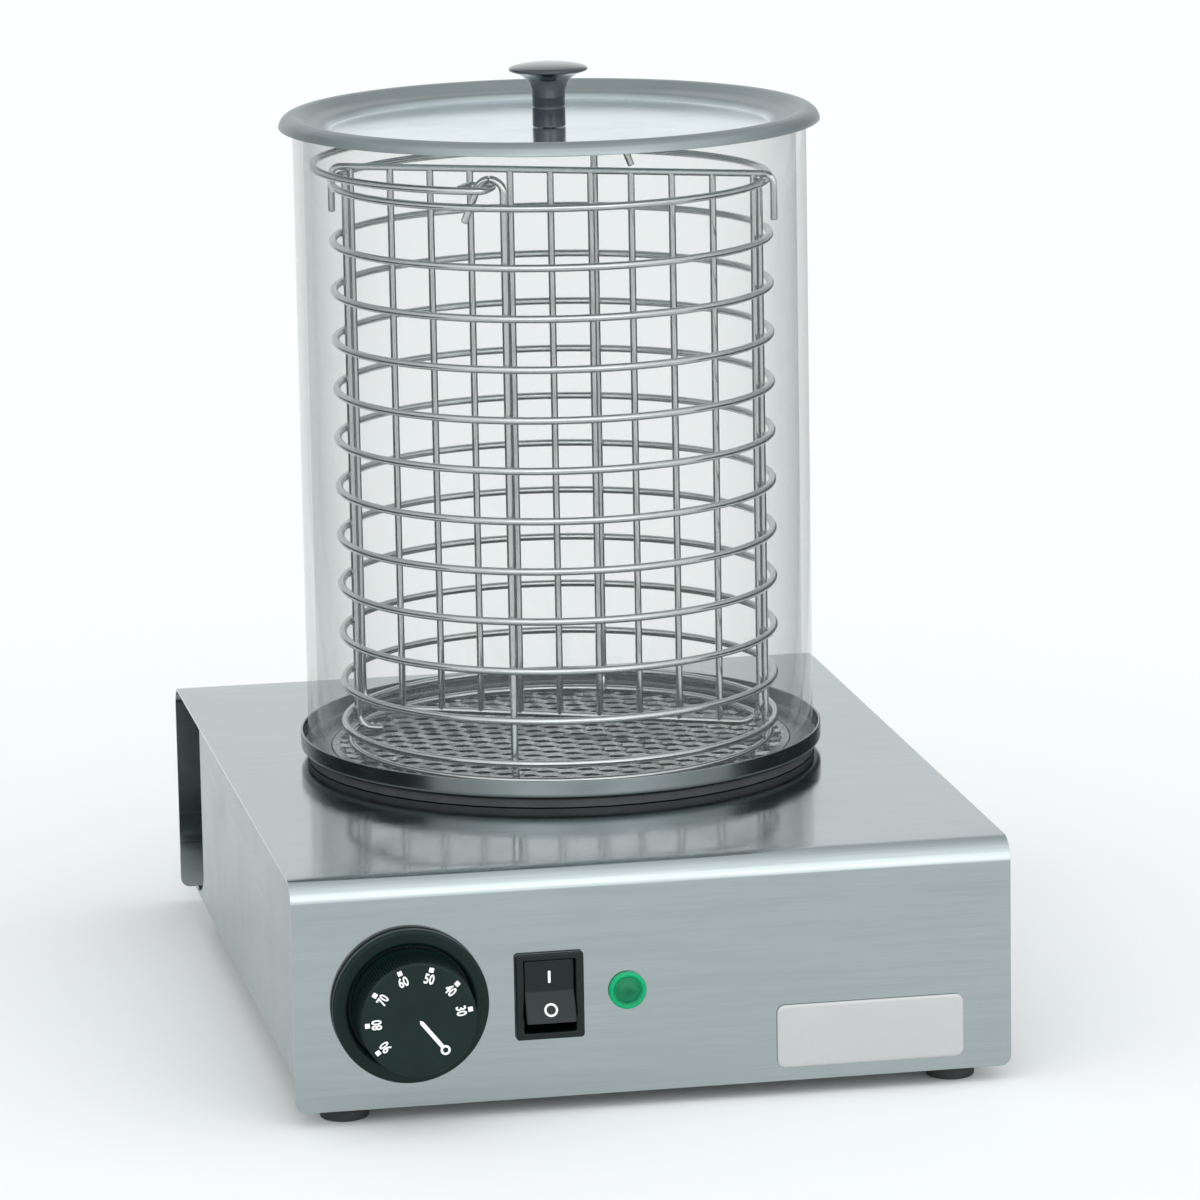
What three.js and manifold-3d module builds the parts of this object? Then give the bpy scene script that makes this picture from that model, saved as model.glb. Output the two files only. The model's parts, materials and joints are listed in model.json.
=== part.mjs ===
// Counter-top hot dog steamer: a stainless steel base with a water pan, and on the pan a glass
// cylinder that holds a wire basket under a loose lid.
//
// Millimetres, +Z up, +X to the right of a person who faces the controls, +Y to the back.
// The origin is on the table, under the middle of the object's outline.
import * as THREE from 'three';
import { mergeVertices } from 'three/addons/utils/BufferGeometryUtils.js';
import Module from 'manifold-3d';

const wasm = await Module();
wasm.setup();

const TAU = 2 * Math.PI;
const rad = THREE.MathUtils.degToRad;

// ---- driving dimensions -------------------------------------------------------------------

const GAP = 0.3;              // clearance kept between pieces that touch
const SHEET = 1.2;            // thickness of the housing's steel

const HOUSING_WIDTH = 270;
const HOUSING_DEPTH = 350;
const HOUSING_BOTTOM = 6;     // lower edge of the front and rear panels, above the table
const HOUSING_TOP = 93;
const COVER_BEND = 9;         // outer radius of the cover's two top bends
const COVER_CORNER = 4;       // rounding of the panels' lower corners

const DIAL_PROUD = 23;        // how far the dial's face stands in front of the panel
const FRONT_Y = -(HOUSING_DEPTH + DIAL_PROUD) / 2 + DIAL_PROUD;
const REAR_Y = FRONT_Y + HOUSING_DEPTH;
const INSIDE_Y = FRONT_Y + SHEET;

const TRAY_BOTTOM = 17;       // underside of the chassis tray
const TRAY_FLOOR = TRAY_BOTTOM + SHEET;
const TRAY_SIDE = HOUSING_WIDTH / 2 - GAP;
const TRAY_REAR_Y = FRONT_Y + 270;  // rear edge of the side panels, where the open bay starts
const TOE_LENGTH = 32;        // the side panels' curved toes run on under the bay
const TOE_HEIGHT = 13;

const FOOT_X = 115;
const FOOT_INSET = 15;
const FOOT_REAR_INSET = 100;

const WELL_Y = FRONT_Y + 190; // axis of pan, glass, basket and lid
const CONTROL_Z = 45;         // height of dial, switch and lamp
const DIAL_X = -92;
const SWITCH_X = -40;
const LAMP_X = -10.7;
const PLATE_X = 81;
const PLATE_Z = 23.2;

const PAN_SHEET = 1;
const PAN_RIM_RADIUS = 103;
const PAN_RIM_TOP = 104.2;
const PAN_SHELF = 97.6;       // upper side of the flat ring that carries the glass
const PAN_LEDGE = 96;         // upper side of the step that carries the drip plate
const PAN_LEDGE_RADIUS = 91;
const PAN_BOWL_RADIUS = 76;
const PAN_BOTTOM = 42;

const GLASS_RADIUS = 100;
const GLASS_WALL = 4;
const GLASS_FOOT = PAN_SHELF + GAP;
const GLASS_HEIGHT = 248;
const GLASS_TOP = GLASS_FOOT + GLASS_HEIGHT;

const WIRE = 1.5;             // radius of the basket's and handle's wire
const THIN_WIRE = 1.4;        // radius of the divider's wire
const RING_RADIUS = 85.2;
const RING_PITCH = 19.45;
const TOP_RING_Z = 321.2;
const SECOND_RING_Z = 298.5;
const PITCHED_RINGS = 10;
const LOW_RING_Z = 106.7;
const BASE_RING_Z = 99.5;
const BASE_RING_RADIUS = RING_RADIUS - 2.3;   // welded to the outside of the uprights' lower bends
const UPRIGHT_RADIUS = RING_RADIUS - 2 * WIRE + 0.3;
const BASKET_TURN = rad(-22.5);   // the basket stands turned in the glass
const DIVIDER_TURN = rad(-25);
const HOOK_RADIUS = 5.2;      // arch at the top of the front and rear uprights
const PIVOT_Z = 328.5;        // line about which the handle swings
const HANDLE_RADIUS = 92.4;

const DIVIDER_REACH = 81.2;   // middle of the divider to its end wires
const DIVIDER_WIRES = 11;
const DIVIDER_TOP = TOP_RING_Z + WIRE + THIN_WIRE + GAP;
const DIVIDER_BOTTOM = 107;
const DIVIDER_HOOK = 89.2;    // middle of the divider to the legs of its hooks
const DIVIDER_HOOK_DROP = 18;

const LID_EDGE_RADIUS = 105.3;
const LID_EDGE_Z = 343.4;
const LID_FLOOR_Z = 341.4;
const LID_SHEET = 0.9;
const KNOB_TOP = 366.5;
const KNOB_RADIUS = 15.5;
const KNOB_NECK = 6.5;

// ---- materials ----------------------------------------------------------------------------

const material = (color, roughness, metalness, more = {}) =>
  new THREE.MeshStandardMaterial({ color, roughness, metalness, ...more });

const brushedSteel = () => material(0xaab2b2, 0.35, 1);
const galvanised = () => material(0x9aa0a2, 0.5, 1);
const brightSteel = () => material(0xb8bdbd, 0.22, 1);
const aluminium = () => material(0xc4c6c8, 0.4, 1);
const brass = () => material(0xc9a24a, 0.3, 1);
const blackPlastic = () => material(0x15171a, 0.4, 0);
const glossBlack = () => material(0x0a0d12, 0.15, 0);
const paleCeramic = () => material(0xe3ded2, 0.6, 0);
const rubber = () => material(0x1b1c1d, 0.85, 0);
const silicone = () => material(0x2a2c2e, 0.7, 0);
const greenLens = () => material(0x0c8a3a, 0.15, 0);
const clearGlass = () => material(0xeaf3f1, 0.05, 0, { transparent: true, opacity: 0.3 });

// ---- geometry helpers ---------------------------------------------------------------------

// A closed geometry with shared vertices and its faces pointing out.
function closed(geometry) {
  const bare = geometry.clone();
  bare.deleteAttribute('normal');
  bare.deleteAttribute('uv');
  const welded = mergeVertices(bare, 1e-4);
  if (signedVolume(welded) < 0) {
    const index = welded.index.array;
    for (let i = 0; i < index.length; i += 3) {
      [index[i], index[i + 1]] = [index[i + 1], index[i]];
    }
  }
  return welded;
}

function signedVolume(geometry) {
  const corners = [new THREE.Vector3(), new THREE.Vector3(), new THREE.Vector3()];
  const { position } = geometry.attributes;
  const index = geometry.index.array;
  let sum = 0;
  for (let i = 0; i < index.length; i += 3) {
    corners.forEach((corner, k) => corner.fromBufferAttribute(position, index[i + k]));
    sum += corners[0].dot(corners[1].clone().cross(corners[2]));
  }
  return sum / 6;
}

function toSolid(geometry) {
  const welded = closed(geometry);
  return new wasm.Manifold(new wasm.Mesh({
    numProp: 3,
    vertProperties: new Float32Array(welded.attributes.position.array),
    triVerts: new Uint32Array(welded.index.array),
  }));
}

function fromSolid(solid) {
  const mesh = solid.getMesh();
  const geometry = new THREE.BufferGeometry();
  geometry.setAttribute('position', new THREE.BufferAttribute(mesh.vertProperties, 3));
  geometry.setIndex(new THREE.BufferAttribute(mesh.triVerts, 1));
  return geometry;
}

const join = (...geometries) =>
  fromSolid(geometries.map(toSolid).reduce((whole, piece) => whole.add(piece)));

const cut = (geometry, ...tools) =>
  fromSolid(tools.map(toSolid).reduce((whole, tool) => whole.subtract(tool), toSolid(geometry)));

function block(x0, x1, y0, y1, z0, z1) {
  return new THREE.BoxGeometry(x1 - x0, y1 - y0, z1 - z0)
    .translate((x0 + x1) / 2, (y0 + y1) / 2, (z0 + z1) / 2);
}

// A profile of [radius, height] pairs turned about +Z.
function turned(profile, segments = 48) {
  const points = profile.map(([radius, height]) => new THREE.Vector2(radius, height));
  return new THREE.LatheGeometry(points, segments).rotateX(Math.PI / 2);
}

const disc = (radius, z0, z1, segments = 48) =>
  turned([[0, z0], [radius, z0], [radius, z1], [0, z1]], segments);

const tube = (inner, outer, z0, z1, segments = 48) =>
  turned([[inner, z0], [outer, z0], [outer, z1], [inner, z1], [inner, z0]], segments);

// A six-sided nut whose bore clears a round thread of the given radius.
const hexNut = (thread, across, z0, z1) =>
  tube((thread + GAP) / Math.cos(Math.PI / 6), across, z0, z1, 6);

// Turns a piece built about +Z so that its +Z points forward, out of the front panel.
const facingForward = (geometry) => geometry.rotateX(Math.PI / 2);

const outline = (points) => new THREE.Shape(points.map(([x, y]) => new THREE.Vector2(x, y)));

// A flat outline pushed along X: the outline's first axis is Y and its second is Z.
function pushedAlongX(shape, x0, x1, curveSegments = 6) {
  const geometry = new THREE.ExtrudeGeometry(shape, {
    depth: x1 - x0, bevelEnabled: false, curveSegments,
  });
  const basis = new THREE.Matrix4().makeBasis(
    new THREE.Vector3(0, 1, 0), new THREE.Vector3(0, 0, 1), new THREE.Vector3(1, 0, 0));
  return geometry.applyMatrix4(basis).translate(x0, 0, 0);
}

// A flat outline pushed along Y: the outline's first axis is X and its second is Z.
function pushedAlongY(shape, y0, y1, curveSegments = 6) {
  const geometry = new THREE.ExtrudeGeometry(shape, {
    depth: y1 - y0, bevelEnabled: false, curveSegments,
  });
  return geometry.rotateX(Math.PI / 2).translate(0, y1, 0);
}

// A path through given points whose steps fall on the points themselves, with mitred corners.
class WirePath extends THREE.Curve {
  constructor(points) {
    super();
    this.points = points;
  }

  getPoint(t) {
    const place = t * (this.points.length - 1);
    const before = Math.min(Math.floor(place + 1e-9), this.points.length - 2);
    return this.points[before].clone().lerp(this.points[before + 1], place - before);
  }

  getPointAt(u) {
    return this.getPoint(u);
  }

  getTangentAt(u) {
    const last = this.points.length - 1;
    const here = Math.round(u * last);
    const direction = (from, to) => this.points[to].clone().sub(this.points[from]).normalize();
    const arriving = here > 0 ? direction(here - 1, here) : new THREE.Vector3();
    const leaving = here < last ? direction(here, here + 1) : new THREE.Vector3();
    return arriving.add(leaving).normalize();
  }
}

function wire(points, radius, sides = 6) {
  const section = new THREE.Shape();
  for (let i = 0; i < sides; i += 1) {
    const angle = (i / sides) * TAU;
    const [x, y] = [radius * Math.cos(angle), radius * Math.sin(angle)];
    if (i === 0) section.moveTo(x, y);
    else section.lineTo(x, y);
  }
  return new THREE.ExtrudeGeometry(section, {
    steps: points.length - 1, extrudePath: new WirePath(points), bevelEnabled: false,
  });
}

// Points of an arc in the plane of two unit vectors, from one angle to another.
function arc(centre, radius, first, second, from, to, steps) {
  const points = [];
  for (let i = 0; i <= steps; i += 1) {
    const angle = from + ((to - from) * i) / steps;
    points.push(centre.clone()
      .addScaledVector(first, radius * Math.cos(angle))
      .addScaledVector(second, radius * Math.sin(angle)));
  }
  return points;
}

const X = new THREE.Vector3(1, 0, 0);
const Y = new THREE.Vector3(0, 1, 0);
const Z = new THREE.Vector3(0, 0, 1);
const at = (x, y, z) => new THREE.Vector3(x, y, z);

const steamer = new THREE.Group();

function add(name, geometry, surface, place = [0, 0, 0], parent = steamer) {
  const mesh = new THREE.Mesh(closed(geometry), surface);
  mesh.name = name;
  mesh.position.set(...place);
  parent.add(mesh);
}

// Everything on the well's axis sits in a group there; the basket's own group is turned.
const well = new THREE.Group();
well.position.set(0, WELL_Y, 0);
steamer.add(well);

// ---- housing ------------------------------------------------------------------------------

const SHAFT_HOLE = 5.5;
const LAMP_HOLE = 5.2;
const SWITCH_CUTOUT = [22, 30];
const COVER_HOLE = PAN_BOWL_RADIUS + 2;

// One sheet bent into front panel, top and rear panel.
function coverSheet() {
  const inner = COVER_BEND - SHEET;
  const shape = new THREE.Shape();
  shape.moveTo(FRONT_Y, HOUSING_BOTTOM);
  shape.lineTo(FRONT_Y, HOUSING_TOP - COVER_BEND);
  shape.absarc(FRONT_Y + COVER_BEND, HOUSING_TOP - COVER_BEND, COVER_BEND, Math.PI, Math.PI / 2, true);
  shape.absarc(REAR_Y - COVER_BEND, HOUSING_TOP - COVER_BEND, COVER_BEND, Math.PI / 2, 0, true);
  shape.lineTo(REAR_Y, HOUSING_BOTTOM);
  shape.lineTo(REAR_Y - SHEET, HOUSING_BOTTOM);
  shape.absarc(REAR_Y - COVER_BEND, HOUSING_TOP - COVER_BEND, inner, 0, Math.PI / 2, false);
  shape.absarc(FRONT_Y + COVER_BEND, HOUSING_TOP - COVER_BEND, inner, Math.PI / 2, Math.PI, false);
  shape.lineTo(FRONT_Y + SHEET, HOUSING_BOTTOM);
  shape.closePath();
  return pushedAlongX(shape, -HOUSING_WIDTH / 2, HOUSING_WIDTH / 2);
}

// What is cut away outside a rounded lower corner; side is -1 at the left and 1 at the right.
function cornerCutter(side) {
  const edge = (side * HOUSING_WIDTH) / 2;
  const centreX = edge - side * COVER_CORNER;
  const centreZ = HOUSING_BOTTOM + COVER_CORNER;
  const shape = new THREE.Shape();
  shape.moveTo(edge + side, HOUSING_BOTTOM - 1);
  shape.lineTo(edge + side, centreZ);
  shape.lineTo(edge, centreZ);
  shape.absarc(centreX, centreZ, COVER_CORNER, side > 0 ? 0 : Math.PI, -Math.PI / 2, side > 0);
  shape.lineTo(centreX, HOUSING_BOTTOM - 1);
  shape.closePath();
  return pushedAlongY(shape, FRONT_Y - 1, REAR_Y + 1);
}

function frontHole(radius, x, z) {
  const hole = facingForward(disc(radius, -5, 5, 24));
  return hole.translate(x, FRONT_Y, z);
}

function addCover() {
  const [cutWidth, cutHeight] = SWITCH_CUTOUT;
  const cover = cut(
    coverSheet(),
    cornerCutter(-1),
    cornerCutter(1),
    disc(COVER_HOLE, HOUSING_TOP - 5, HOUSING_TOP + 5, 64).translate(0, WELL_Y, 0),
    frontHole(SHAFT_HOLE, DIAL_X, CONTROL_Z),
    frontHole(LAMP_HOLE, LAMP_X, CONTROL_Z),
    block(SWITCH_X - cutWidth / 2, SWITCH_X + cutWidth / 2, FRONT_Y - 5, FRONT_Y + 5,
      CONTROL_Z - cutHeight / 2, CONTROL_Z + cutHeight / 2),
  );
  add('top_cover', cover, brushedSteel());
}

const SCREW_HOLE = 2.4;
const footPlaces = {
  front_left: [-FOOT_X, FRONT_Y + FOOT_INSET],
  front_right: [FOOT_X, FRONT_Y + FOOT_INSET],
  rear_left: [-FOOT_X, REAR_Y - FOOT_REAR_INSET],
  rear_right: [FOOT_X, REAR_Y - FOOT_REAR_INSET],
};

// Outline, in Y and Z, of what a side panel is cut back to: the panel with its curved toe.
function sidePanelOutline() {
  const front = INSIDE_Y + GAP;
  const top = HOUSING_TOP - SHEET - GAP;
  const bend = COVER_BEND - SHEET - GAP;
  const shape = new THREE.Shape();
  shape.moveTo(front, TRAY_BOTTOM - 1);
  shape.lineTo(front, top - bend);
  shape.absarc(front + bend, top - bend, bend, Math.PI, Math.PI / 2, true);
  shape.lineTo(TRAY_REAR_Y, top);
  shape.lineTo(TRAY_REAR_Y, TRAY_FLOOR + TOE_HEIGHT);
  shape.absellipse(TRAY_REAR_Y + TOE_LENGTH, TRAY_FLOOR + TOE_HEIGHT, TOE_LENGTH, TOE_HEIGHT,
    Math.PI, 1.5 * Math.PI, false, 0);
  shape.lineTo(TRAY_REAR_Y + TOE_LENGTH, TRAY_BOTTOM - 1);
  shape.closePath();
  return shape;
}

// One sheet folded into the bottom and the two side panels.
function addTray() {
  const [side, inner, top] = [TRAY_SIDE, TRAY_SIDE - SHEET, HOUSING_TOP];
  const shape = outline([
    [-side, TRAY_BOTTOM], [side, TRAY_BOTTOM], [side, top], [inner, top], [inner, TRAY_FLOOR],
    [-inner, TRAY_FLOOR], [-inner, top], [-side, top],
  ]);
  const folded = toSolid(pushedAlongY(shape, INSIDE_Y, REAR_Y));
  const limit = toSolid(pushedAlongX(sidePanelOutline(), -TRAY_SIDE - 1, TRAY_SIDE + 1));
  const holes = Object.values(footPlaces)
    .map(([x, y]) => disc(SCREW_HOLE, TRAY_BOTTOM - 2, TRAY_FLOOR + 2, 16).translate(x, y, 0));
  add('chassis_tray', cut(fromSolid(folded.intersect(limit)), ...holes), brushedSteel());
}

const GLAND_X = 80;
const GLAND_Z = 45;
const GLAND_THREAD = 7.5;

function addBulkhead() {
  const half = TRAY_SIDE - SHEET - GAP;
  const wall = block(-half, half, TRAY_REAR_Y - SHEET, TRAY_REAR_Y,
    TRAY_FLOOR + GAP, HOUSING_TOP - SHEET - GAP);
  const hole = facingForward(disc(GLAND_THREAD + GAP, -5, 5, 24)).translate(GLAND_X, TRAY_REAR_Y, GLAND_Z);
  add('rear_bulkhead', cut(wall, hole), galvanised());
}

const FOOT_TOP = TRAY_BOTTOM - GAP;
const FOOT_RECESS = 8.3;

function addFeet() {
  const foot = [[SCREW_HOLE, FOOT_RECESS], [4.6, FOOT_RECESS], [4.6, 0], [9, 0], [10, FOOT_TOP],
    [SCREW_HOLE, FOOT_TOP], [SCREW_HOLE, FOOT_RECESS]];
  const screw = [[0, 4.6], [3.6, 4.6], [4, 5.6], [4, FOOT_RECESS - GAP], [2, FOOT_RECESS - GAP],
    [2, TRAY_FLOOR + 7], [0, TRAY_FLOOR + 7]];
  const nut = () => hexNut(2, 4.2, TRAY_FLOOR + GAP, TRAY_FLOOR + 3.5);
  for (const [corner, [x, y]] of Object.entries(footPlaces)) {
    add(`foot_${corner}`, turned(foot, 24), rubber(), [x, y, 0]);
    add(`foot_screw_${corner}`, turned(screw, 12), brightSteel(), [x, y, 0]);
    add(`foot_nut_${corner}`, nut(), brightSteel(), [x, y, 0]);
  }
}

function addNamePlate() {
  const [width, height, thickness, corner] = [71, 24, 0.8, 3];
  const shape = new THREE.Shape();
  const [right, top] = [width / 2, height / 2];
  shape.absarc(right - corner, top - corner, corner, 0, Math.PI / 2, false);
  shape.absarc(-right + corner, top - corner, corner, Math.PI / 2, Math.PI, false);
  shape.absarc(-right + corner, -top + corner, corner, Math.PI, 1.5 * Math.PI, false);
  shape.absarc(right - corner, -top + corner, corner, 1.5 * Math.PI, TAU, false);
  shape.closePath();
  const face = FRONT_Y - GAP;
  add('blank_name_plate', pushedAlongY(shape, face - thickness, face, 4), aluminium(),
    [PLATE_X, 0, PLATE_Z]);
}

// ---- controls -----------------------------------------------------------------------------

// Heights in these profiles are distances in front of the panel's outer face.
function addThermostat() {
  const behind = -SHEET - GAP;
  const bezel = [[SHAFT_HOLE, GAP], [28.6, GAP], [29, 1.2], [29, 4], [28.4, 5], [24.2, 5],
    [23.2, 4], [23.2, 1.6], [SHAFT_HOLE, 1.6], [SHAFT_HOLE, GAP]];
  const dial = [[0, 14], [3.2, 14], [3.2, 2], [22, 2], [22, 5.5], [21.4, DIAL_PROUD - 0.8],
    [20.8, DIAL_PROUD], [0, DIAL_PROUD]];
  const shaft = [[0, behind - 3], [3, behind - 3], [3, 14 - GAP], [0, 14 - GAP]];
  const place = [DIAL_X, FRONT_Y, CONTROL_Z];
  add('dial_bezel', facingForward(turned(bezel, 48)), blackPlastic(), place);
  add('thermostat_dial', facingForward(turned(dial, 48)), blackPlastic(), place);
  add('thermostat_shaft', facingForward(turned(shaft, 16)), brass(), place);

  const collar = facingForward(disc(5, behind - 7, behind, 20));
  const can = facingForward(disc(19, behind - 28, behind - 6, 32));
  const socket = facingForward(disc(3.3, behind - 3.5, behind + 1, 20));
  const body = cut(join(collar, can), socket);
  add('thermostat_body', body, galvanised(), place);
}

const BULB_RADIUS = 3;
const BULB_X = -25;
const HEATER_Z = PAN_BOTTOM - GAP;     // upper side of the heater plate
const HEATER_UNDERSIDE = HEATER_Z - 4;
const BULB_Z = HEATER_UNDERSIDE - GAP - BULB_RADIUS;

// Sensing bulb under the heater plate, with its capillary running to the thermostat's back.
function addThermostatBulb() {
  const bulbFront = WELL_Y - 26;
  const bulb = turned([[0, 0], [BULB_RADIUS, 0], [BULB_RADIUS, 56], [0, 56]], 12)
    .rotateX(-Math.PI / 2).translate(BULB_X, bulbFront, BULB_Z);
  const route = [
    at(BULB_X, bulbFront + 1, BULB_Z), at(BULB_X, bulbFront - 2, BULB_Z),
    at(BULB_X - 1, bulbFront - 8, 29), at(BULB_X - 9, bulbFront - 28, 26),
    at(-50, FRONT_Y + 90, 25), at(-74, FRONT_Y + 66, 26), at(-88, FRONT_Y + 48, 32),
    at(DIAL_X, FRONT_Y + 38, 41), at(DIAL_X, FRONT_Y + SHEET + 28 + 2 * GAP, CONTROL_Z),
  ];
  add('thermostat_bulb', join(bulb, wire(route, 1)), brass());
}

const ROCKER_PIVOT = 6;       // pivot's depth behind the panel's outer face
const ROCKER_HALF_TILT = rad(12);
const ROCKER_REACH = 12;      // valley of the rocker's face to its ends
const ROCKER_VALLEY = 1;      // valley's distance in front of the panel

// The rocker's section about its pivot: a round back and a face shaped as a shallow valley.
function rockerSection() {
  const depth = ROCKER_PIVOT + ROCKER_VALLEY;
  const face = depth + ROCKER_REACH * Math.sin(ROCKER_HALF_TILT);
  const reach = ROCKER_REACH * Math.cos(ROCKER_HALF_TILT);
  const start = Math.atan2(reach, face);
  const back = 8.6;
  const shape = new THREE.Shape();
  shape.moveTo(-face, reach);
  shape.lineTo(-depth, 0);
  shape.lineTo(-face, -reach);
  shape.absarc(0, 0, back, Math.PI + start, 3 * Math.PI - start, false);
  shape.closePath();
  return shape;
}

function addSwitch() {
  const [cutWidth, cutHeight] = SWITCH_CUTOUT;
  const [halfWidth, halfHeight] = [cutWidth / 2 - GAP, cutHeight / 2 - GAP];
  const flange = block(-12.8, 12.8, -2.2, -GAP, -16.3, 16.3);
  const body = block(-halfWidth, halfWidth, -1, 24, -halfHeight, halfHeight);
  const cavity = block(-9.6, 9.6, -4, ROCKER_PIVOT + 9.4, -13.8, 13.8);
  const place = [SWITCH_X, FRONT_Y, CONTROL_Z];
  add('switch_housing', cut(join(flange, body), cavity), blackPlastic(), place);

  const rocker = pushedAlongX(rockerSection(), -9.3, 9.3, 10).rotateX(-ROCKER_HALF_TILT);
  add('switch_rocker', rocker, glossBlack(),
    [SWITCH_X, FRONT_Y + ROCKER_PIVOT, CONTROL_Z]);
}

function addPilotLamp() {
  const behind = -SHEET - GAP;
  const lens = [[0, behind - 1], [4.6, behind - 1], [4.6, GAP], [7.1, GAP], [7.1, 1.3], [6.3, 1.9],
    [5, 1.6], [3.4, 2.7], [0, 3.2]];
  const body = [[0, behind - 22], [4.4, behind - 22], [4.4, behind - 1 - GAP], [0, behind - 1 - GAP]];
  const place = [LAMP_X, FRONT_Y, CONTROL_Z];
  add('pilot_lamp_lens', facingForward(turned(lens, 32)), greenLens(), place);
  add('pilot_lamp_body', facingForward(turned(body, 16)), paleCeramic(), place);
  add('pilot_lamp_nut', facingForward(hexNut(4.6, 8.5, behind - 5, behind - 1.2)), brightSteel(), place);
}

// ---- inside the housing -------------------------------------------------------------------

const ELEMENT_TUBE = 3.2;
const ELEMENT_RADIUS = 52;
const ELEMENT_Z = HEATER_UNDERSIDE - GAP - ELEMENT_TUBE;
const STRAP_TOP = ELEMENT_Z - ELEMENT_TUBE - GAP;

function addHeater() {
  add('heater_plate', disc(64, HEATER_UNDERSIDE, HEATER_Z, 40), aluminium(), [0, 0, 0], well);

  const gap = rad(16);
  const ring = arc(at(0, 0, ELEMENT_Z), ELEMENT_RADIUS, X, Y, gap, TAU - gap, 28);
  const tail = (point, side) => [
    point.clone().add(at(9, side * 1.5, 0)), point.clone().add(at(34, side * 1.5, 0)),
  ];
  const route = [...tail(ring[0], 1).reverse(), ...ring, ...tail(ring[ring.length - 1], -1)];
  add('heating_element', wire(route, ELEMENT_TUBE, 8), galvanised(), [0, 0, 0], well);

  const [half, foot, t] = [82, 96, 1.5];
  const strap = outline([
    [-foot, TRAY_FLOOR + GAP], [-half, TRAY_FLOOR + GAP], [-half, STRAP_TOP - t],
    [half, STRAP_TOP - t], [half, TRAY_FLOOR + GAP], [foot, TRAY_FLOOR + GAP],
    [foot, TRAY_FLOOR + GAP + t], [half + t, TRAY_FLOOR + GAP + t], [half + t, STRAP_TOP],
    [-half - t, STRAP_TOP], [-half - t, TRAY_FLOOR + GAP + t], [-foot, TRAY_FLOOR + GAP + t],
  ]);
  add('heater_strap', pushedAlongY(strap, -10, 10), galvanised(), [0, 0, 0], well);

  add('overheat_cutout', disc(8, HEATER_UNDERSIDE - 8, HEATER_UNDERSIDE - GAP, 20), paleCeramic(),
    [0, 28, 0], well);
}

function addMainsEntry() {
  const blockTop = TRAY_FLOOR + GAP + 16;
  add('terminal_block', block(60, 100, TRAY_REAR_Y - 44, TRAY_REAR_Y - 26, TRAY_FLOOR + GAP, blockTop),
    paleCeramic());

  const bore = 4;
  const gland = [[bore, 15], [bore, -12 - SHEET], [GLAND_THREAD, -12 - SHEET], [GLAND_THREAD, GAP],
    [11, GAP], [11, 5], [9.5, 6], [9.5, 12], [7, 15], [bore, 15]];
  const place = [GLAND_X, TRAY_REAR_Y, GLAND_Z];
  const facingBack = (geometry) => geometry.rotateX(-Math.PI / 2);
  add('cable_gland', facingBack(turned(gland, 24)), blackPlastic(), place);
  const nut = facingBack(hexNut(GLAND_THREAD, 12.5, -SHEET - 6, -SHEET - GAP));
  add('cable_gland_nut', nut, blackPlastic(), place);
}

// ---- water pan, drip plate and glass ------------------------------------------------------

function addPan() {
  const t = PAN_SHEET;
  const inner = PAN_BOWL_RADIUS - t;
  const rim = PAN_RIM_RADIUS;
  const pan = [
    [0, PAN_BOTTOM], [inner - 8, PAN_BOTTOM], [inner - 2, PAN_BOTTOM + 2.4],
    [PAN_BOWL_RADIUS, PAN_BOTTOM + 8], [PAN_BOWL_RADIUS, PAN_LEDGE - t],
    [PAN_LEDGE_RADIUS + t, PAN_LEDGE - t],
    [PAN_LEDGE_RADIUS + t, PAN_SHELF - t], [rim - 1.5, PAN_SHELF - t], [rim, PAN_SHELF + 0.5],
    [rim, PAN_RIM_TOP], [rim - t, PAN_RIM_TOP], [rim - t, PAN_SHELF + 0.8], [rim - 1.8, PAN_SHELF],
    [PAN_LEDGE_RADIUS, PAN_SHELF], [PAN_LEDGE_RADIUS, PAN_LEDGE], [inner, PAN_LEDGE],
    [inner, PAN_BOTTOM + 8.4], [inner - 2.8, PAN_BOTTOM + 3.3], [inner - 8.4, PAN_BOTTOM + t],
    [0, PAN_BOTTOM + t],
  ];
  add('water_pan', turned(pan, 48), brightSteel(), [0, 0, 0], well);
  add('pan_seat_ring', tube(96, 100.5, HOUSING_TOP + GAP, PAN_SHELF - t - GAP, 48), silicone(),
    [0, 0, 0], well);
}

// Expanded metal plate: a disc with rows of staggered lozenge holes.
function addDripPlate() {
  const [radius, bottom, top] = [PAN_LEDGE_RADIUS - GAP, PAN_LEDGE + GAP, PAN_LEDGE + 1.7];
  const [longWay, shortWay] = [30, 13];
  const lozenge = outline([[-12, 0], [-5, -4], [5, -4], [12, 0], [5, 4], [-5, 4]]);
  const holes = [];
  for (let row = -6; row <= 6; row += 1) {
    for (let column = -3; column <= 3; column += 1) {
      const x = (column + (row % 2 ? 0.5 : 0)) * longWay;
      const y = row * shortWay;
      if (Math.hypot(Math.abs(x) + 12, Math.abs(y) + 4) > radius - 3) continue;
      holes.push(new THREE.ExtrudeGeometry(lozenge, { depth: 6, bevelEnabled: false })
        .translate(x, y, bottom - 2));
    }
  }
  add('drip_plate', cut(disc(radius, bottom, top, 48), ...holes), brightSteel(), [0, 0, 0], well);
}

function addGlass() {
  add('glass_cylinder', tube(GLASS_RADIUS - GLASS_WALL, GLASS_RADIUS, GLASS_FOOT, GLASS_TOP, 64),
    clearGlass(), [0, 0, 0], well);
}

// ---- basket -------------------------------------------------------------------------------

const basketGroup = new THREE.Group();
basketGroup.rotation.z = BASKET_TURN;
well.add(basketGroup);

const ring = (radius, z) => new THREE.TorusGeometry(radius, WIRE, 5, 32).translate(0, 0, z);

function ringHeights() {
  const pitched = Array.from({ length: PITCHED_RINGS }, (_, i) => SECOND_RING_Z - i * RING_PITCH);
  return [TOP_RING_Z, ...pitched, LOW_RING_Z];
}

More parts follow.
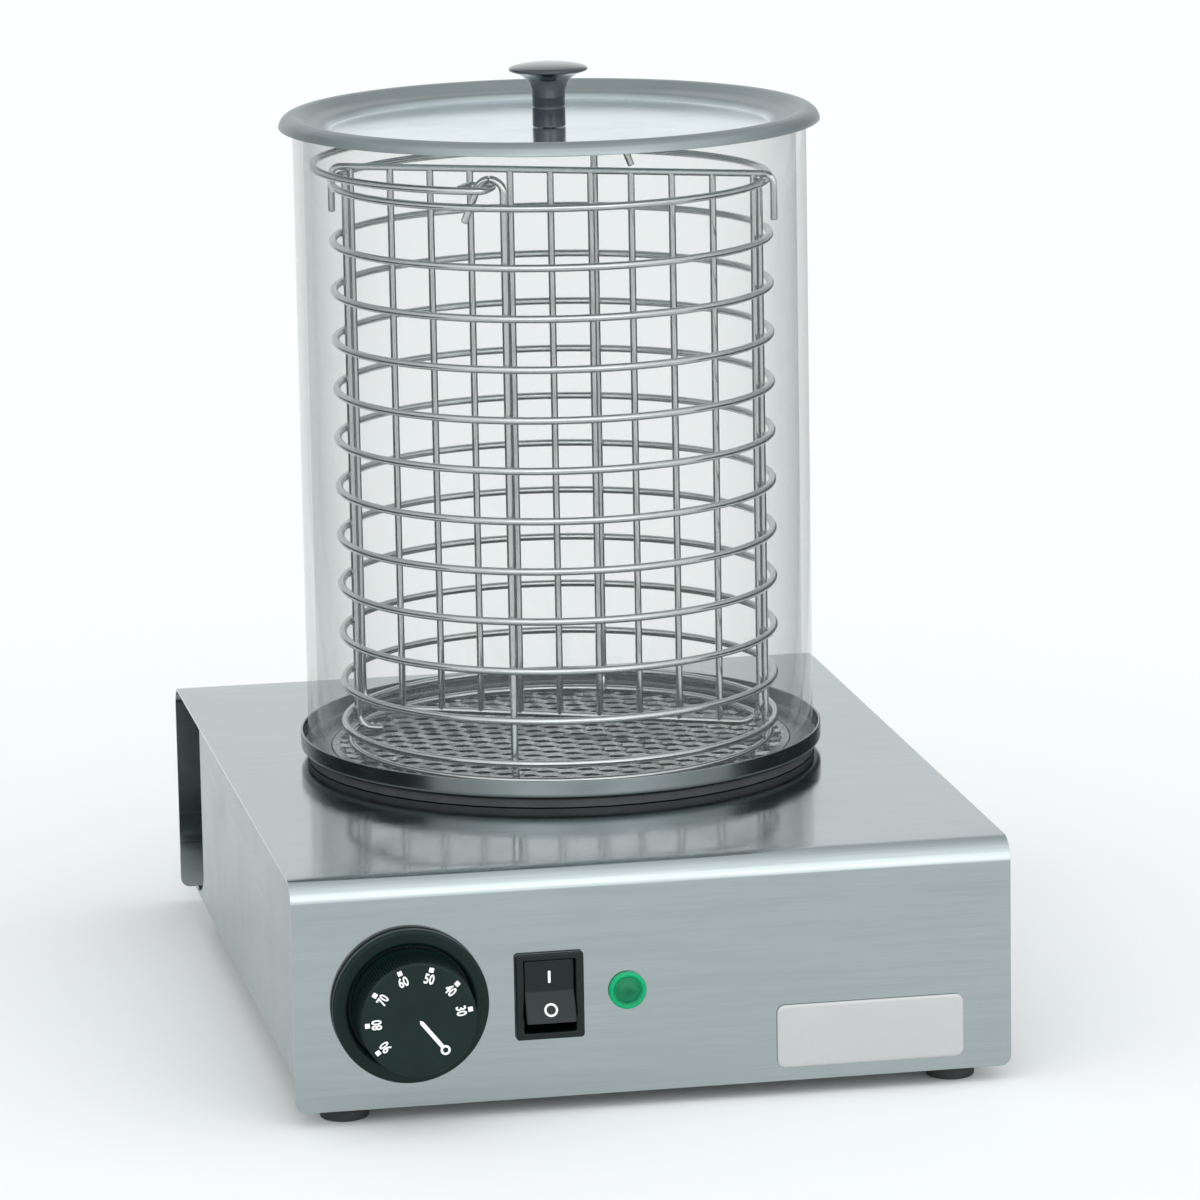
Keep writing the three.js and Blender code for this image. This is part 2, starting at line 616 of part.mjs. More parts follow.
// An upright of the basket: from its top down to the plate, where it turns inwards as a short foot.
function upright(outward, topPoints) {
  const [bend, foot] = [6, 4];
  const centre = outward.clone().multiplyScalar(UPRIGHT_RADIUS - bend).setZ(BASE_RING_Z + bend);
  const corner = arc(centre, bend, outward, Z.clone().negate(), 0, Math.PI / 2, 4);
  const end = outward.clone().multiplyScalar(UPRIGHT_RADIUS - bend - foot).setZ(BASE_RING_Z);
  return wire([...topPoints(outward), ...corner, end], WIRE);
}

// The front and rear uprights end in arches that carry the handle: up, over and down again,
// in the plane that touches the rings, to the left at the front and to the right at the rear.
function hookPoints(outward) {
  const along = outward.clone().cross(Z);
  const straight = outward.clone().multiplyScalar(UPRIGHT_RADIUS);
  const centre = straight.clone().addScaledVector(along, HOOK_RADIUS)
    .setZ(PIVOT_Z - HOOK_RADIUS + 2 * WIRE + GAP);
  const arch = arc(centre, HOOK_RADIUS, along.clone().negate(), Z, 0, rad(155), 8);
  const tip = arch[arch.length - 1].clone()
    .addScaledVector(along, 5.5).setZ(TOP_RING_Z - 6);
  return [tip, ...arch.reverse()];
}

function addBasket() {
  const plainTop = (outward) => [outward.clone().multiplyScalar(UPRIGHT_RADIUS).setZ(TOP_RING_Z + 1)];
  const hooked = [Y.clone().negate(), Y.clone()].map((outward) => upright(outward, hookPoints));
  const plain = [X.clone().negate(), X.clone()].map((outward) => upright(outward, plainTop));
  const rings = ringHeights().map((z) => ring(RING_RADIUS, z));
  const baseRing = ring(BASE_RING_RADIUS, BASE_RING_Z);
  add('basket', join(baseRing, ...rings, ...hooked, ...plain), brightSteel(), [0, 0, 0], basketGroup);
}

// The handle's pivot line runs from the front arch to the rear arch, so it is turned a little
// further than the basket.
const handleGroup = new THREE.Group();
handleGroup.rotation.z = BASKET_TURN - Math.atan2(HOOK_RADIUS, UPRIGHT_RADIUS);
well.add(handleGroup);

// Bail: half a ring folded down to the left. Each end passes in under its arch and comes back
// on the far side of the arch's leg, as a long eye.
function addHandle() {
  const [start, inner, width] = [rad(3), 77.2, 2 * HOOK_RADIUS];
  const half = arc(at(0, 0, PIVOT_Z), HANDLE_RADIUS, Y, X.clone().negate(), start, Math.PI - start, 28);
  const eye = (sign) => [
    at(-width, sign * (HANDLE_RADIUS - 4.6), PIVOT_Z), at(-width, sign * inner, PIVOT_Z),
    at(0, sign * inner, PIVOT_Z), at(0, sign * (HANDLE_RADIUS - 1.5), PIVOT_Z),
  ];
  const route = [...eye(1), ...half, ...eye(-1).reverse()];
  add('basket_handle', wire(route, WIRE), brightSteel(), [0, 0, 0], handleGroup);
}

// ---- divider ------------------------------------------------------------------------------

const dividerGroup = new THREE.Group();
dividerGroup.rotation.z = DIVIDER_TURN;
well.add(dividerGroup);

function addDivider() {
  const [bend, corner] = [4, 8];
  const hookEnd = (sign) => {
    const outward = X.clone().multiplyScalar(sign);
    const centre = at(sign * (DIVIDER_HOOK - bend), 0, DIVIDER_TOP - bend);
    const over = arc(centre, bend, Z, outward, 0, Math.PI / 2, 4);
    return [...over, at(sign * DIVIDER_HOOK, 0, DIVIDER_TOP - DIVIDER_HOOK_DROP)];
  };
  const topRail = [...hookEnd(-1).reverse(), ...hookEnd(1)];
  const lowCorner = (sign) => arc(at(sign * (DIVIDER_REACH - corner), 0, DIVIDER_BOTTOM + corner),
    corner, X.clone().multiplyScalar(sign), Z.clone().negate(), 0, Math.PI / 2, 4);
  const frame = [at(-DIVIDER_REACH, 0, DIVIDER_TOP), ...lowCorner(-1),
    ...lowCorner(1).reverse(), at(DIVIDER_REACH, 0, DIVIDER_TOP)];
  const pitch = (2 * DIVIDER_REACH) / (DIVIDER_WIRES - 1);
  const bars = Array.from({ length: DIVIDER_WIRES - 2 }, (_, i) => {
    const x = -DIVIDER_REACH + (i + 1) * pitch;
    return wire([at(x, 0, DIVIDER_BOTTOM), at(x, 0, DIVIDER_TOP)], THIN_WIRE);
  });
  add('basket_divider', join(wire(topRail, THIN_WIRE), wire(frame, THIN_WIRE), ...bars),
    brightSteel(), [0, 0, 0], dividerGroup);
}

// ---- lid ----------------------------------------------------------------------------------

function addLid() {
  const upper = [
    [LID_EDGE_RADIUS, LID_EDGE_Z], [104.9, 345.2], [103.2, 347.2], [100.5, 348.3], [97.4, 347.9],
    [94.6, 346.2], [92.2, 344.8], [89.6, 344.3], [87.4, 343.2], [85, LID_FLOOR_Z],
  ];
  const lower = upper.slice(1).map(([radius, z]) => [radius - LID_SHEET * 0.5, z - LID_SHEET]).reverse();
  const hole = 2.6;
  const profile = [...upper, [hole, LID_FLOOR_Z], [hole, LID_FLOOR_Z - LID_SHEET], ...lower,
    [LID_EDGE_RADIUS - LID_SHEET, LID_EDGE_Z], [LID_EDGE_RADIUS, LID_EDGE_Z]];
  add('lid', turned(profile, 48), brushedSteel(), [0, 0, 0], well);
}

function addLidKnob() {
  const foot = LID_FLOOR_Z + GAP;
  const [bore, depth] = [2.3, 11];
  const knob = [[0, foot + depth], [bore, foot + depth], [bore, foot], [KNOB_NECK, foot],
    [KNOB_NECK, KNOB_TOP - 13], [7.4, KNOB_TOP - 8], [10, KNOB_TOP - 4.6],
    [KNOB_RADIUS - 0.7, KNOB_TOP - 3.2], [KNOB_RADIUS, KNOB_TOP - 2.5], [KNOB_RADIUS - 1.6, KNOB_TOP - 1.4],
    [8, KNOB_TOP - 0.3], [0, KNOB_TOP]];
  add('lid_knob', turned(knob, 32), glossBlack(), [0, 0, 0], well);

  const under = LID_FLOOR_Z - LID_SHEET - GAP;
  const washer = tube(2.4, 5.5, under - 0.8, under, 20);
  const head = under - 0.8 - GAP;
  const screw = [[0, head - 2.2], [3.2, head - 2.2], [4, head - 1], [4, head], [2, head],
    [2, foot + depth - 1], [0, foot + depth - 1]];
  add('lid_knob_washer', washer, brightSteel(), [0, 0, 0], well);
  add('lid_knob_screw', turned(screw, 16), brightSteel(), [0, 0, 0], well);
}

// ---- assembly -----------------------------------------------------------------------------

addCover();
addTray();
addBulkhead();
addFeet();
addNamePlate();
addThermostat();
addThermostatBulb();
addSwitch();
addPilotLamp();
addHeater();
addMainsEntry();
addPan();
addDripPlate();
addGlass();
addBasket();
addHandle();
addDivider();
addLid();
addLidKnob();

export default steamer;
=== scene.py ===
"""Finished look of a counter-top hot dog steamer, laid out as a Blender add-on.

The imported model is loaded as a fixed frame. Each operator makes one piece, or a group of like
pieces, round it. Shapes are worked out in millimetres and put into their meshes in metres.
"""
import json
import math

import bmesh
import bpy
import numpy as np
from bpy.props import FloatProperty, FloatVectorProperty, IntProperty, PointerProperty
from mathutils import Matrix, Vector


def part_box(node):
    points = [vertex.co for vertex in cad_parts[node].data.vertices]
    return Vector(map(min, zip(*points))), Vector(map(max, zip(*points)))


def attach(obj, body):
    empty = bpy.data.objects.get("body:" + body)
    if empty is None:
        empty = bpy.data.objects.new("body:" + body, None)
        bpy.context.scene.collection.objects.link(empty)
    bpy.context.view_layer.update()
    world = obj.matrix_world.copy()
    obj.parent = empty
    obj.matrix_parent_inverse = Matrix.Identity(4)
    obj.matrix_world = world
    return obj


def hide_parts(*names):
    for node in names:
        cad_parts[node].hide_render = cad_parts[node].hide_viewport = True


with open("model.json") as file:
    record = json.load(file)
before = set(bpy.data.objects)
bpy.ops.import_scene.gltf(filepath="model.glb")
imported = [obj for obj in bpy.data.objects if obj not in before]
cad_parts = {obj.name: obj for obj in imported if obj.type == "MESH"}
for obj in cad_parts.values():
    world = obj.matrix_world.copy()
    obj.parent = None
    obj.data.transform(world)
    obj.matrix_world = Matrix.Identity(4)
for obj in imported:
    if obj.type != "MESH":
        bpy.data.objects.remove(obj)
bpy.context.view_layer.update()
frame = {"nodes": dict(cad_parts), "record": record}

bl_info = {
    "name": "Hot dog steamer",
    "version": (1, 0, 0),
    "blender": (4, 5, 0),
    "location": "3D View > Sidebar > Steamer",
    "description": "Steel base, water pan, glass cylinder, wire basket and lid of a hot dog steamer",
    "category": "Add Mesh",
}

MM = 0.001
TAU = 2 * math.pi


def node_box(node):
    """Lowest and highest corner of a CAD node, in millimetres."""
    low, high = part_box(node)
    return np.array(low) / MM, np.array(high) / MM


COVER_LOW, COVER_HIGH = node_box("top_cover")
TRAY_LOW, TRAY_HIGH = node_box("chassis_tray")
GLASS_LOW, GLASS_HIGH = node_box("glass_cylinder")
BEZEL_LOW, BEZEL_HIGH = node_box("dial_bezel")
SWITCH_LOW, SWITCH_HIGH = node_box("switch_housing")
LAMP_LOW, LAMP_HIGH = node_box("pilot_lamp_lens")
PLATE_LOW, PLATE_HIGH = node_box("blank_name_plate")
GLAND_LOW, GLAND_HIGH = node_box("cable_gland")
KNOB_LOW, KNOB_HIGH = node_box("lid_knob")
DRIP_LOW, DRIP_HIGH = node_box("drip_plate")

FRONT, REAR = COVER_LOW[1], COVER_HIGH[1]
HALF_WIDTH = COVER_HIGH[0]
COVER_FOOT, COVER_TOP = COVER_LOW[2], COVER_HIGH[2]
BAY = node_box("rear_bulkhead")[1][1]       # rear face of the bulkhead, where the open bay starts
WELL = (GLASS_LOW[1] + GLASS_HIGH[1]) / 2   # axis of pan, glass, basket and lid
CONTROL_Z = (BEZEL_LOW[2] + BEZEL_HIGH[2]) / 2
DIAL_X = (BEZEL_LOW[0] + BEZEL_HIGH[0]) / 2
SWITCH_X = (SWITCH_LOW[0] + SWITCH_HIGH[0]) / 2
LAMP_X = (LAMP_LOW[0] + LAMP_HIGH[0]) / 2
DIAL_PROUD = FRONT - node_box("thermostat_dial")[0][1]
LID_UNDERSIDE = node_box("lid")[0][2]

SHEET = 1.2                     # thickness of the housing's steel
SWITCH_OPENING = (22.0, 30.0)   # width and height of the hole in the front panel
PAN_HOLE = 78.0                 # radius of the hole in the top
PAN_SHELF = 96.0                # ledge of the pan that carries the drip plate

BASKET_TURN = -22.5             # the basket and the divider stand turned in the glass, in degrees
DIVIDER_TURN = -25.0
RING_RADIUS = 85.2
TOP_RING_Z = 321.2
RING_HEIGHTS = [TOP_RING_Z, *(298.5 - 19.45 * step for step in range(10)), 106.7]
BASE_RING_Z = 99.5
BASE_RING_RADIUS = RING_RADIUS - 2.3
UPRIGHT_RADIUS = 82.5
PIVOT_Z = 328.5                 # line about which the handle swings
HOOK_RADIUS = 5.2
HANDLE_RADIUS = 92.4
HANDLE_TURN = BASKET_TURN - math.degrees(math.atan2(HOOK_RADIUS, UPRIGHT_RADIUS))


# ---- shapes -------------------------------------------------------------------------------

def round_corners(points, radius, steps=4):
    """A path whose corners are eased: from r before each corner P to r after it runs
    (1-t)^2 A + 2t(1-t) P + t^2 B, and r never takes more than 0.3 of a neighbouring side.
    Support points at 1.5 r keep the straights straight."""
    p = np.asarray(points, float)
    side = np.diff(p, axis=0)
    length = np.linalg.norm(side, axis=1, keepdims=True)
    way = side / np.maximum(length, 1e-9)
    reach = np.minimum(radius, 0.3 * np.minimum(length[:-1], length[1:]))
    corner, back, on = p[1:-1], -way[:-1] * reach, way[1:] * reach
    t = np.linspace(0, 1, steps + 1)[None, :, None]
    before, after = (corner + back)[:, None], (corner + on)[:, None]
    curve = (1 - t) ** 2 * before + 2 * t * (1 - t) * corner[:, None] + t ** 2 * after
    eased = np.concatenate(
        [(corner + 1.5 * back)[:, None], curve, (corner + 1.5 * on)[:, None]], axis=1)
    return np.concatenate([p[:1], eased.reshape(-1, p.shape[1]), p[-1:]])


def round_loop(points, radius, steps=4):
    """The same for a closed outline, whose last point joins its first."""
    p = np.asarray(points, float)
    wrapped = np.concatenate([p[-1:], p, p[:1]])
    return round_corners(wrapped, radius, steps)[1:-1]


def arc(centre, radius, first, second, start, end, steps):
    """Points centre + r (cos a * first + sin a * second), with a from start to end degrees."""
    a = np.radians(np.linspace(start, end, steps))[:, None]
    return np.asarray(centre, float) + radius * (
        np.cos(a) * np.asarray(first, float) + np.sin(a) * np.asarray(second, float))


def loft(rows, start=None, end=None, ring=False):
    """Skin over closed outlines: column j joins j+1 and row i joins i+1. start and end are
    poles that close the first and last row; ring joins the last row to the first."""
    rows = np.asarray(rows, float)
    count, columns, _ = rows.shape
    index = np.arange(count * columns).reshape(count, columns)
    near = index if ring else index[:-1]
    far = np.roll(index, -1, axis=0) if ring else index[1:]
    quads = np.stack([near, np.roll(near, -1, 1), np.roll(far, -1, 1), far], -1)
    faces = quads.reshape(-1, 4).tolist()
    points = rows.reshape(-1, 3)
    for pole, edge, flip in ((start, index[0], True), (end, index[-1], False)):
        if pole is None:
            continue
        tip = np.full(columns, len(points))
        fan = np.stack([edge, np.roll(edge, -1), tip], -1)
        faces += (fan[:, [1, 0, 2]] if flip else fan).tolist()
        points = np.vstack([points, pole])
    return outward(points, faces)


def outward(points, faces):
    """Turns the faces round where the closed skin's signed volume is negative."""
    triangles = np.array([face[:3] for face in faces] + [
        [face[0], face[2], face[3]] for face in faces if len(face) == 4])
    a, b, c = (points[triangles[:, k]] for k in range(3))
    if np.einsum("ij,ij->", a, np.cross(b, c)) < 0:
        faces = [face[::-1] for face in faces]
    return points, faces


def upright(x=0.0, y=None):
    """Turns (across, away, height) into a place on a vertical axis at x, y."""
    y = WELL if y is None else y
    return lambda p: p + np.array([x, y, 0.0])


def forward(x, z):
    """Turns (across, up, height) into a place on an axis that points out of the front panel."""
    return lambda p: np.stack([x + p[..., 0], FRONT - p[..., 2], z + p[..., 1]], -1)


def backward(x, y, z):
    """The same on an axis that points to the back."""
    return lambda p: np.stack([x - p[..., 0], y + p[..., 2], z + p[..., 1]], -1)


def revolve(profile, place, columns=96, ring=False, ribs=None):
    """Profile (r, h) turned about an axis: (r cos a, r sin a, h). ribs gives, for each row and
    angle, what is taken off the radius."""
    radius, height = np.asarray(profile, float).T
    a = np.linspace(0, TAU, columns, endpoint=False)
    poles = [place(np.array([0.0, 0.0, h])) if r < 1e-6 else None
             for r, h in (profile[0], profile[-1])]
    keep = radius > 1e-6
    r = radius[keep][:, None] - (ribs(height[keep][:, None], a[None]) if ribs else 0)
    rows = np.stack([r * np.cos(a), r * np.sin(a), height[keep][:, None] + 0 * a], -1)
    return loft(place(rows), poles[0], poles[1], ring)


def tube(path, radius, aside, sides=10, closed=False):
    """A round wire along a path: p + r (cos a * u + sin a * v), where u is aside made square to
    the path and v is square to both. Open ends are cut blunt with a small bevel."""
    p = np.asarray(path, float)
    if closed:
        along = np.roll(p, -1, 0) - np.roll(p, 1, 0)
        r = np.full(len(p), radius)
    else:
        along = np.gradient(p, axis=0)
        tip = along[[0, -1]] / np.linalg.norm(along[[0, -1]], axis=1, keepdims=True) * 0.3 * radius
        p = np.concatenate([p[:1], p[:1] + tip[:1], p[1:-1], p[-1:] - tip[1:], p[-1:]])
        along = np.concatenate([along[:1], along[:1], along[1:-1], along[-1:], along[-1:]])
        r = np.full(len(p), radius)
        r[[0, -1]] *= 0.72
    along = along / np.linalg.norm(along, axis=1, keepdims=True)
    u = np.asarray(aside, float) - along * (along @ np.asarray(aside, float))[:, None]
    u /= np.linalg.norm(u, axis=1, keepdims=True)
    v = np.cross(along, u)
    a = np.linspace(0, TAU, sides, endpoint=False)[None, :, None]
    rows = p[:, None] + r[:, None, None] * (np.cos(a) * u[:, None] + np.sin(a) * v[:, None])
    if closed:
        return loft(rows, ring=True)
    return loft(rows, p[0], p[-1])


def hoop(radius, z, wire, steps=128):
    """A ring of wire about the well's axis."""
    a = np.linspace(0, TAU, steps, endpoint=False)
    path = np.stack([radius * np.cos(a), radius * np.sin(a), np.full(steps, z)], -1)
    return tube(path, wire, (0, 0, 1), closed=True)


def turned(surface, degrees):
    """A surface turned about the well's axis and put in its place."""
    points, faces = surface
    c, s = math.cos(math.radians(degrees)), math.sin(math.radians(degrees))
    spin = np.array([[c, -s, 0], [s, c, 0], [0, 0, 1]])
    return points @ spin.T + np.array([0, WELL, 0]), faces


def rounded_rectangle(width, height, corner, steps=8):
    """Outline of a rectangle with round corners, anticlockwise, about its middle."""
    x, y = width / 2 - corner, height / 2 - corner
    quarters = [((x, y), 0), ((-x, y), 90), ((-x, -y), 180), ((x, -y), 270)]
    return np.concatenate([
        arc(centre, corner, (1, 0), (0, 1), start, start + 90, steps)
        for centre, start in quarters])


def pillow(outline, profile, place):
    """An outline pushed out of a face: each (inset, height) of the profile gives a row, moved in
    towards the middle by the inset on both axes."""
    half = np.abs(outline).max(axis=0)
    rows = [np.column_stack([outline * (1 - inset / half), np.full(len(outline), height)])
            for inset, height in profile]
    middle = [place(np.array([0.0, 0.0, height])) for height in (profile[0][1], profile[-1][1])]
    return loft(place(np.array(rows)), *middle)


def open_grid(points):
    """Faces of an open sheet of points, row by row."""
    rows, columns, _ = points.shape
    index = np.arange(rows * columns).reshape(rows, columns)
    quads = np.stack([index[:-1, :-1], index[:-1, 1:], index[1:, 1:], index[1:, :-1]], -1)
    return points.reshape(-1, 3), quads.reshape(-1, 4).tolist()


def ramp01(value, low, high):
    """Smooth step from 0 at low to 1 at high."""
    t = np.clip((value - low) / (high - low), 0, 1)
    return t * t * (3 - 2 * t)


# ---- pieces -------------------------------------------------------------------------------

def new_piece(name, body, finish, surfaces, replaces=(), crease=38.0):
    """One mesh object from several skins, in its place, riding on its body."""
    points, faces, offset = [], [], 0
    for skin, skin_faces in surfaces:
        points.append(skin)
        faces += [[k + offset for k in face] for face in skin_faces]
        offset += len(skin)
    mesh = bpy.data.meshes.new(name)
    mesh.from_pydata((np.concatenate(points) * MM).tolist(), [], faces)
    mesh.polygons.foreach_set("use_smooth", np.ones(len(mesh.polygons), bool))
    mesh.update()
    mesh.set_sharp_from_angle(angle=math.radians(crease))
    mesh.materials.append(finish)
    piece = bpy.data.objects.new(name, mesh)
    bpy.context.scene.collection.objects.link(piece)
    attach(piece, body)
    if replaces:
        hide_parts(*replaces)
    return piece


def merge_seams(piece, distance=0.01):
    """Joins points that lie on each other, so that sheets made side by side are one."""
    shell = bmesh.new()
    shell.from_mesh(piece.data)
    bmesh.ops.remove_doubles(shell, verts=shell.verts, dist=distance * MM)
    bmesh.ops.recalc_face_normals(shell, faces=shell.faces)
    shell.to_mesh(piece.data)
    shell.free()


def make_sheet(piece, inward, edge=0.3):
    """Gives an open sheet its thickness, towards the inside, and breaks its edges."""
    merge_seams(piece)
    mesh = piece.data
    middle = mesh.polygons[len(mesh.polygons) // 2]
    if middle.normal.dot(Vector(inward(middle.center))) > 0:
        mesh.flip_normals()
    wall = piece.modifiers.new("wall", "SOLIDIFY")
    wall.thickness, wall.offset, wall.use_even_offset = SHEET * MM, -1, True
    bevel = piece.modifiers.new("edges", "BEVEL")
    bevel.width, bevel.segments, bevel.limit_method = edge * MM, 2, "ANGLE"
    bevel.angle_limit, bevel.harden_normals = math.radians(50), True
    return piece


# ---- shader building ----------------------------------------------------------------------

class Value:
    """A number that varies over a surface. Sums, differences, products and quotients of it add
    Math nodes."""

    def __init__(self, finish, socket):
        self.finish, self.socket = finish, socket

    def combine(self, operation, first, second):
        node = self.finish.node("ShaderNodeMath", {"operation": operation}, {0: first, 1: second})
        return Value(self.finish, node.outputs[0])

    def __add__(self, other):
        return self.combine("ADD", self, other)

    __radd__ = __add__

    def __sub__(self, other):
        return self.combine("SUBTRACT", self, other)

    def __rsub__(self, other):
        return self.combine("SUBTRACT", other, self)

    def __mul__(self, other):
        return self.combine("MULTIPLY", self, other)

    __rmul__ = __mul__

    def __truediv__(self, other):
        return self.combine("DIVIDE", self, other)

    def __pow__(self, other):
        return self.combine("POWER", self, other)


class Finish:
    """One procedural material and the nodes that it is made of."""

    def __init__(self, name):
        self.material = bpy.data.materials.new(name)
        self.material.use_nodes = True
        self.tree = self.material.node_tree
        self.tree.nodes.clear()
        self.output = self.tree.nodes.new("ShaderNodeOutputMaterial")

    def node(self, kind, settings=None, values=None):
        """Adds a node: its settings first, then its sockets' values or links."""
        node = self.tree.nodes.new(kind)
        for key, setting in (settings or {}).items():
            setattr(node, key, setting)
        for key, value in (values or {}).items():
            if isinstance(value, Value):
                self.tree.links.new(value.socket, node.inputs[key])
            elif isinstance(value, bpy.types.NodeSocket):
                self.tree.links.new(value, node.inputs[key])
            else:
                node.inputs[key].default_value = value
        return node

    @staticmethod
    def set_stops(elements, stops):
        """Gives a colour ramp its positions and colours."""
        while len(elements) < len(stops):
            elements.new(0.5)
        for element, (position, colour) in zip(elements, stops):
            element.position, element.color = position, (*colour, 1.0)

    def spot(self, size, centre=(0, 0, 0), turn=(0, 0, 0)):
        """Object coordinates about a centre, measured in features of the given size, in mm."""
        where = self.node("ShaderNodeTexCoord").outputs["Object"]
        return self.node("ShaderNodeMapping", {"vector_type": "TEXTURE"}, {
            "Vector": where, "Location": [c * MM for c in centre], "Rotation": turn,
            "Scale": [s * MM for s in size]}).outputs[0]

    def noise(self, vector, detail=2.0, roughness=0.5):
        """Noise from 0 to 1 whose features are as large as the vector's unit."""
        node = self.node("ShaderNodeTexNoise", None, {
            "Vector": vector, "Scale": 1.0, "Detail": detail, "Roughness": roughness})
        return Value(self, node.outputs["Fac"])

    def spread(self, value, low, high):
        """Maps low..high onto 0..1 and stops there."""
        node = self.node("ShaderNodeMapRange", {"clamp": True}, {
            "Value": value, "From Min": low, "From Max": high})
        return Value(self, node.outputs[0])

    def blend(self, factor, first, second):
        """Mixes two colours; each is an RGB triple or a colour socket."""
        first, second = (c if isinstance(c, bpy.types.NodeSocket) else (*c, 1.0)
                         for c in (first, second))
        node = self.node("ShaderNodeMix", {"data_type": "RGBA"}, {0: factor, 6: first, 7: second})
        return node.outputs[2]

    def bump(self, height, depth, strength=1.0):
        """Normal from a height; depth is in millimetres."""
        return self.node("ShaderNodeBump", None, {
            "Height": height, "Distance": depth * MM, "Strength": strength}).outputs["Normal"]

    def radius(self, centre):
        """Distance from a vertical axis and the height, in millimetres, as two values."""
        parts = self.node("ShaderNodeSeparateXYZ", None, {0: self.spot((1, 1, 1), centre)})
        x, y, z = (Value(self, parts.outputs[k]) for k in range(3))
        return (x * x + y * y) ** 0.5, z

    def turning(self, pitch):
        """Radius and height about the well's axis, and noise that runs round it in lines."""
        r, z = self.radius((0, WELL, 0))
        lathe = self.node("ShaderNodeCombineXYZ", None, {0: r / pitch, 1: z / pitch})
        return r, z, self.noise(lathe.outputs[0], 3.0, 0.65)

    def surface(self, **sockets):
        """Ends the material in a Principled shader with these sockets."""
        names = {key.replace("_", " ").title().replace("Ior", "IOR"): value
                 for key, value in sockets.items()}
        shader = self.node("ShaderNodeBsdfPrincipled", None, names)
        self.tree.links.new(shader.outputs[0], self.output.inputs["Surface"])
        return self.material


def shade(colour, factor):
    """A colour made lighter or darker."""
    return tuple(min(1.0, c * factor) for c in colour)


def brushed_steel(name, colour, grain, roughness=0.125):
    """Sheet steel brushed one way. grain is the size of its scratches in mm, long one way and
    thin the others; wider bands and finger smudges lie over them."""
    f = Finish(name)
    fine = f.noise(f.spot(grain), 3.0, 0.6)
    bands = f.noise(f.spot([g * (1.6 if g > 5 else 7.0) for g in grain]), 2.0, 0.55)
    smudge = f.noise(f.spot((55, 48, 40)), 3.0, 0.55)
    streak = f.spread(fine * 0.6 + bands * 0.4, 0.35, 0.65)
    patch = f.spread(smudge, 0.42, 0.68)
    tone = f.blend(streak, shade(colour, 0.93), shade(colour, 1.05))
    tone = f.blend(patch * 0.35, tone, shade(colour, 0.94))
    rough = streak * 0.07 + patch * 0.05 + (roughness - 0.05)
    normal = f.bump(fine * 0.7 + bands * 0.3, 0.006, 0.3)
    return f.surface(base_color=tone, metallic=1.0, roughness=rough, normal=normal)


def spun_steel(name, colour, roughness):
    """Steel turned or pressed on the well's axis: fine lines run round it."""
    f = Finish(name)
    lines = f.turning(0.35)[2]
    cloud = f.noise(f.spot((38, 38, 20)), 4.0, 0.6)
    spots = f.noise(f.spot((5, 5, 5)), 3.0, 0.6)
    stain = f.spread(cloud, 0.45, 0.72)
    streak = f.spread(lines, 0.3, 0.7)
    tone = f.blend(streak, shade(colour, 0.94), shade(colour, 1.04))
    tone = f.blend(stain * 0.4, tone, shade(colour, 0.86))
    marks = f.spread(spots, 0.55, 0.75)
    rough = streak * 0.06 + stain * 0.07 + marks * 0.03 + roughness
    normal = f.bump(lines, 0.01, 0.25)
    return f.surface(base_color=tone, metallic=1.0, roughness=rough, normal=normal)


def pan_steel(colour):
    """Spun steel that has held boiling water: clean on the rim, painted dark below the ledge, painted
    shade in the deep bowl.
    """
    f = Finish("pan_spun_steel")
    z, lines = f.turning(0.35)[1:]
    cloud = f.noise(f.spot((24, 24, 12)), 4.0, 0.6)
    # Painted shade: below the ledge the colour darkens towards the bottom of the deep bowl.
    depth = f.spread(z, PAN_SHELF - 1, PAN_SHELF - 12)
    scale = f.spread(cloud, 0.42, 0.7)
    tone = f.blend(f.spread(lines, 0.3, 0.7), shade(colour, 0.92), shade(colour, 1.06))
    tone = f.blend(scale * 0.35, tone, shade(colour, 0.8))
    # Painted shade in the bowl: the colour falls to 0.16 of the steel's.
    tone = f.blend(depth, tone, shade(colour, 0.16))
    rough = lines * 0.08 + scale * 0.08 + depth * 0.2 + 0.17
    return f.surface(base_color=tone, metallic=1.0, roughness=rough,
                     normal=f.bump(lines, 0.01, 0.25))


def lid_steel(colour):
    """Polished lid floor with faint turning lines, and a satin flange round it whose colour is painted
    darker, painted shade.
    """
    f = Finish("lid_spun_steel")
    r, z, lines = f.turning(0.5)
    smudge = f.noise(f.spot((34, 30, 20)), 4.0, 0.6)
    # Painted shade: this mask marks the flange, whose colour is darkened below.
    flange = f.spread(r, 84.5, 88.5)
    stain = f.spread(smudge, 0.45, 0.72)
    streak = f.spread(lines, 0.3, 0.7)
    # Painted shade: the flange keeps the same steel's colour, darkened to 0.36 and 0.31 of it.
    tone = f.blend(flange, f.blend(stain * 0.4, colour, shade(colour, 0.8)),
                   f.blend(stain * 0.4, shade(colour, 0.36), shade(colour, 0.31)))
    rough = streak * 0.05 + stain * 0.05 + flange * 0.2 + 0.12
    return f.surface(base_color=tone, metallic=1.0, roughness=rough,
                     normal=f.bump(lines, 0.01, 0.25))


def wire_steel(colour):
    """Drawn wire: fine draw lines and soft, slightly darker dull patches."""
    f = Finish("basket_wire_steel")
    cloud = f.noise(f.spot((16, 16, 16)), 3.0, 0.55)
    fine = f.noise(f.spot((0.6, 0.6, 2.4)), 2.0, 0.5)
    dull = f.spread(cloud, 0.45, 0.75)
    tone = f.blend(dull * 0.5, shade(colour, 1.06), shade(colour, 0.88))
    rough = dull * 0.07 + fine * 0.05 + 0.13
    return f.surface(base_color=tone, metallic=1.0, roughness=rough,
                     normal=f.bump(fine, 0.012, 0.2))


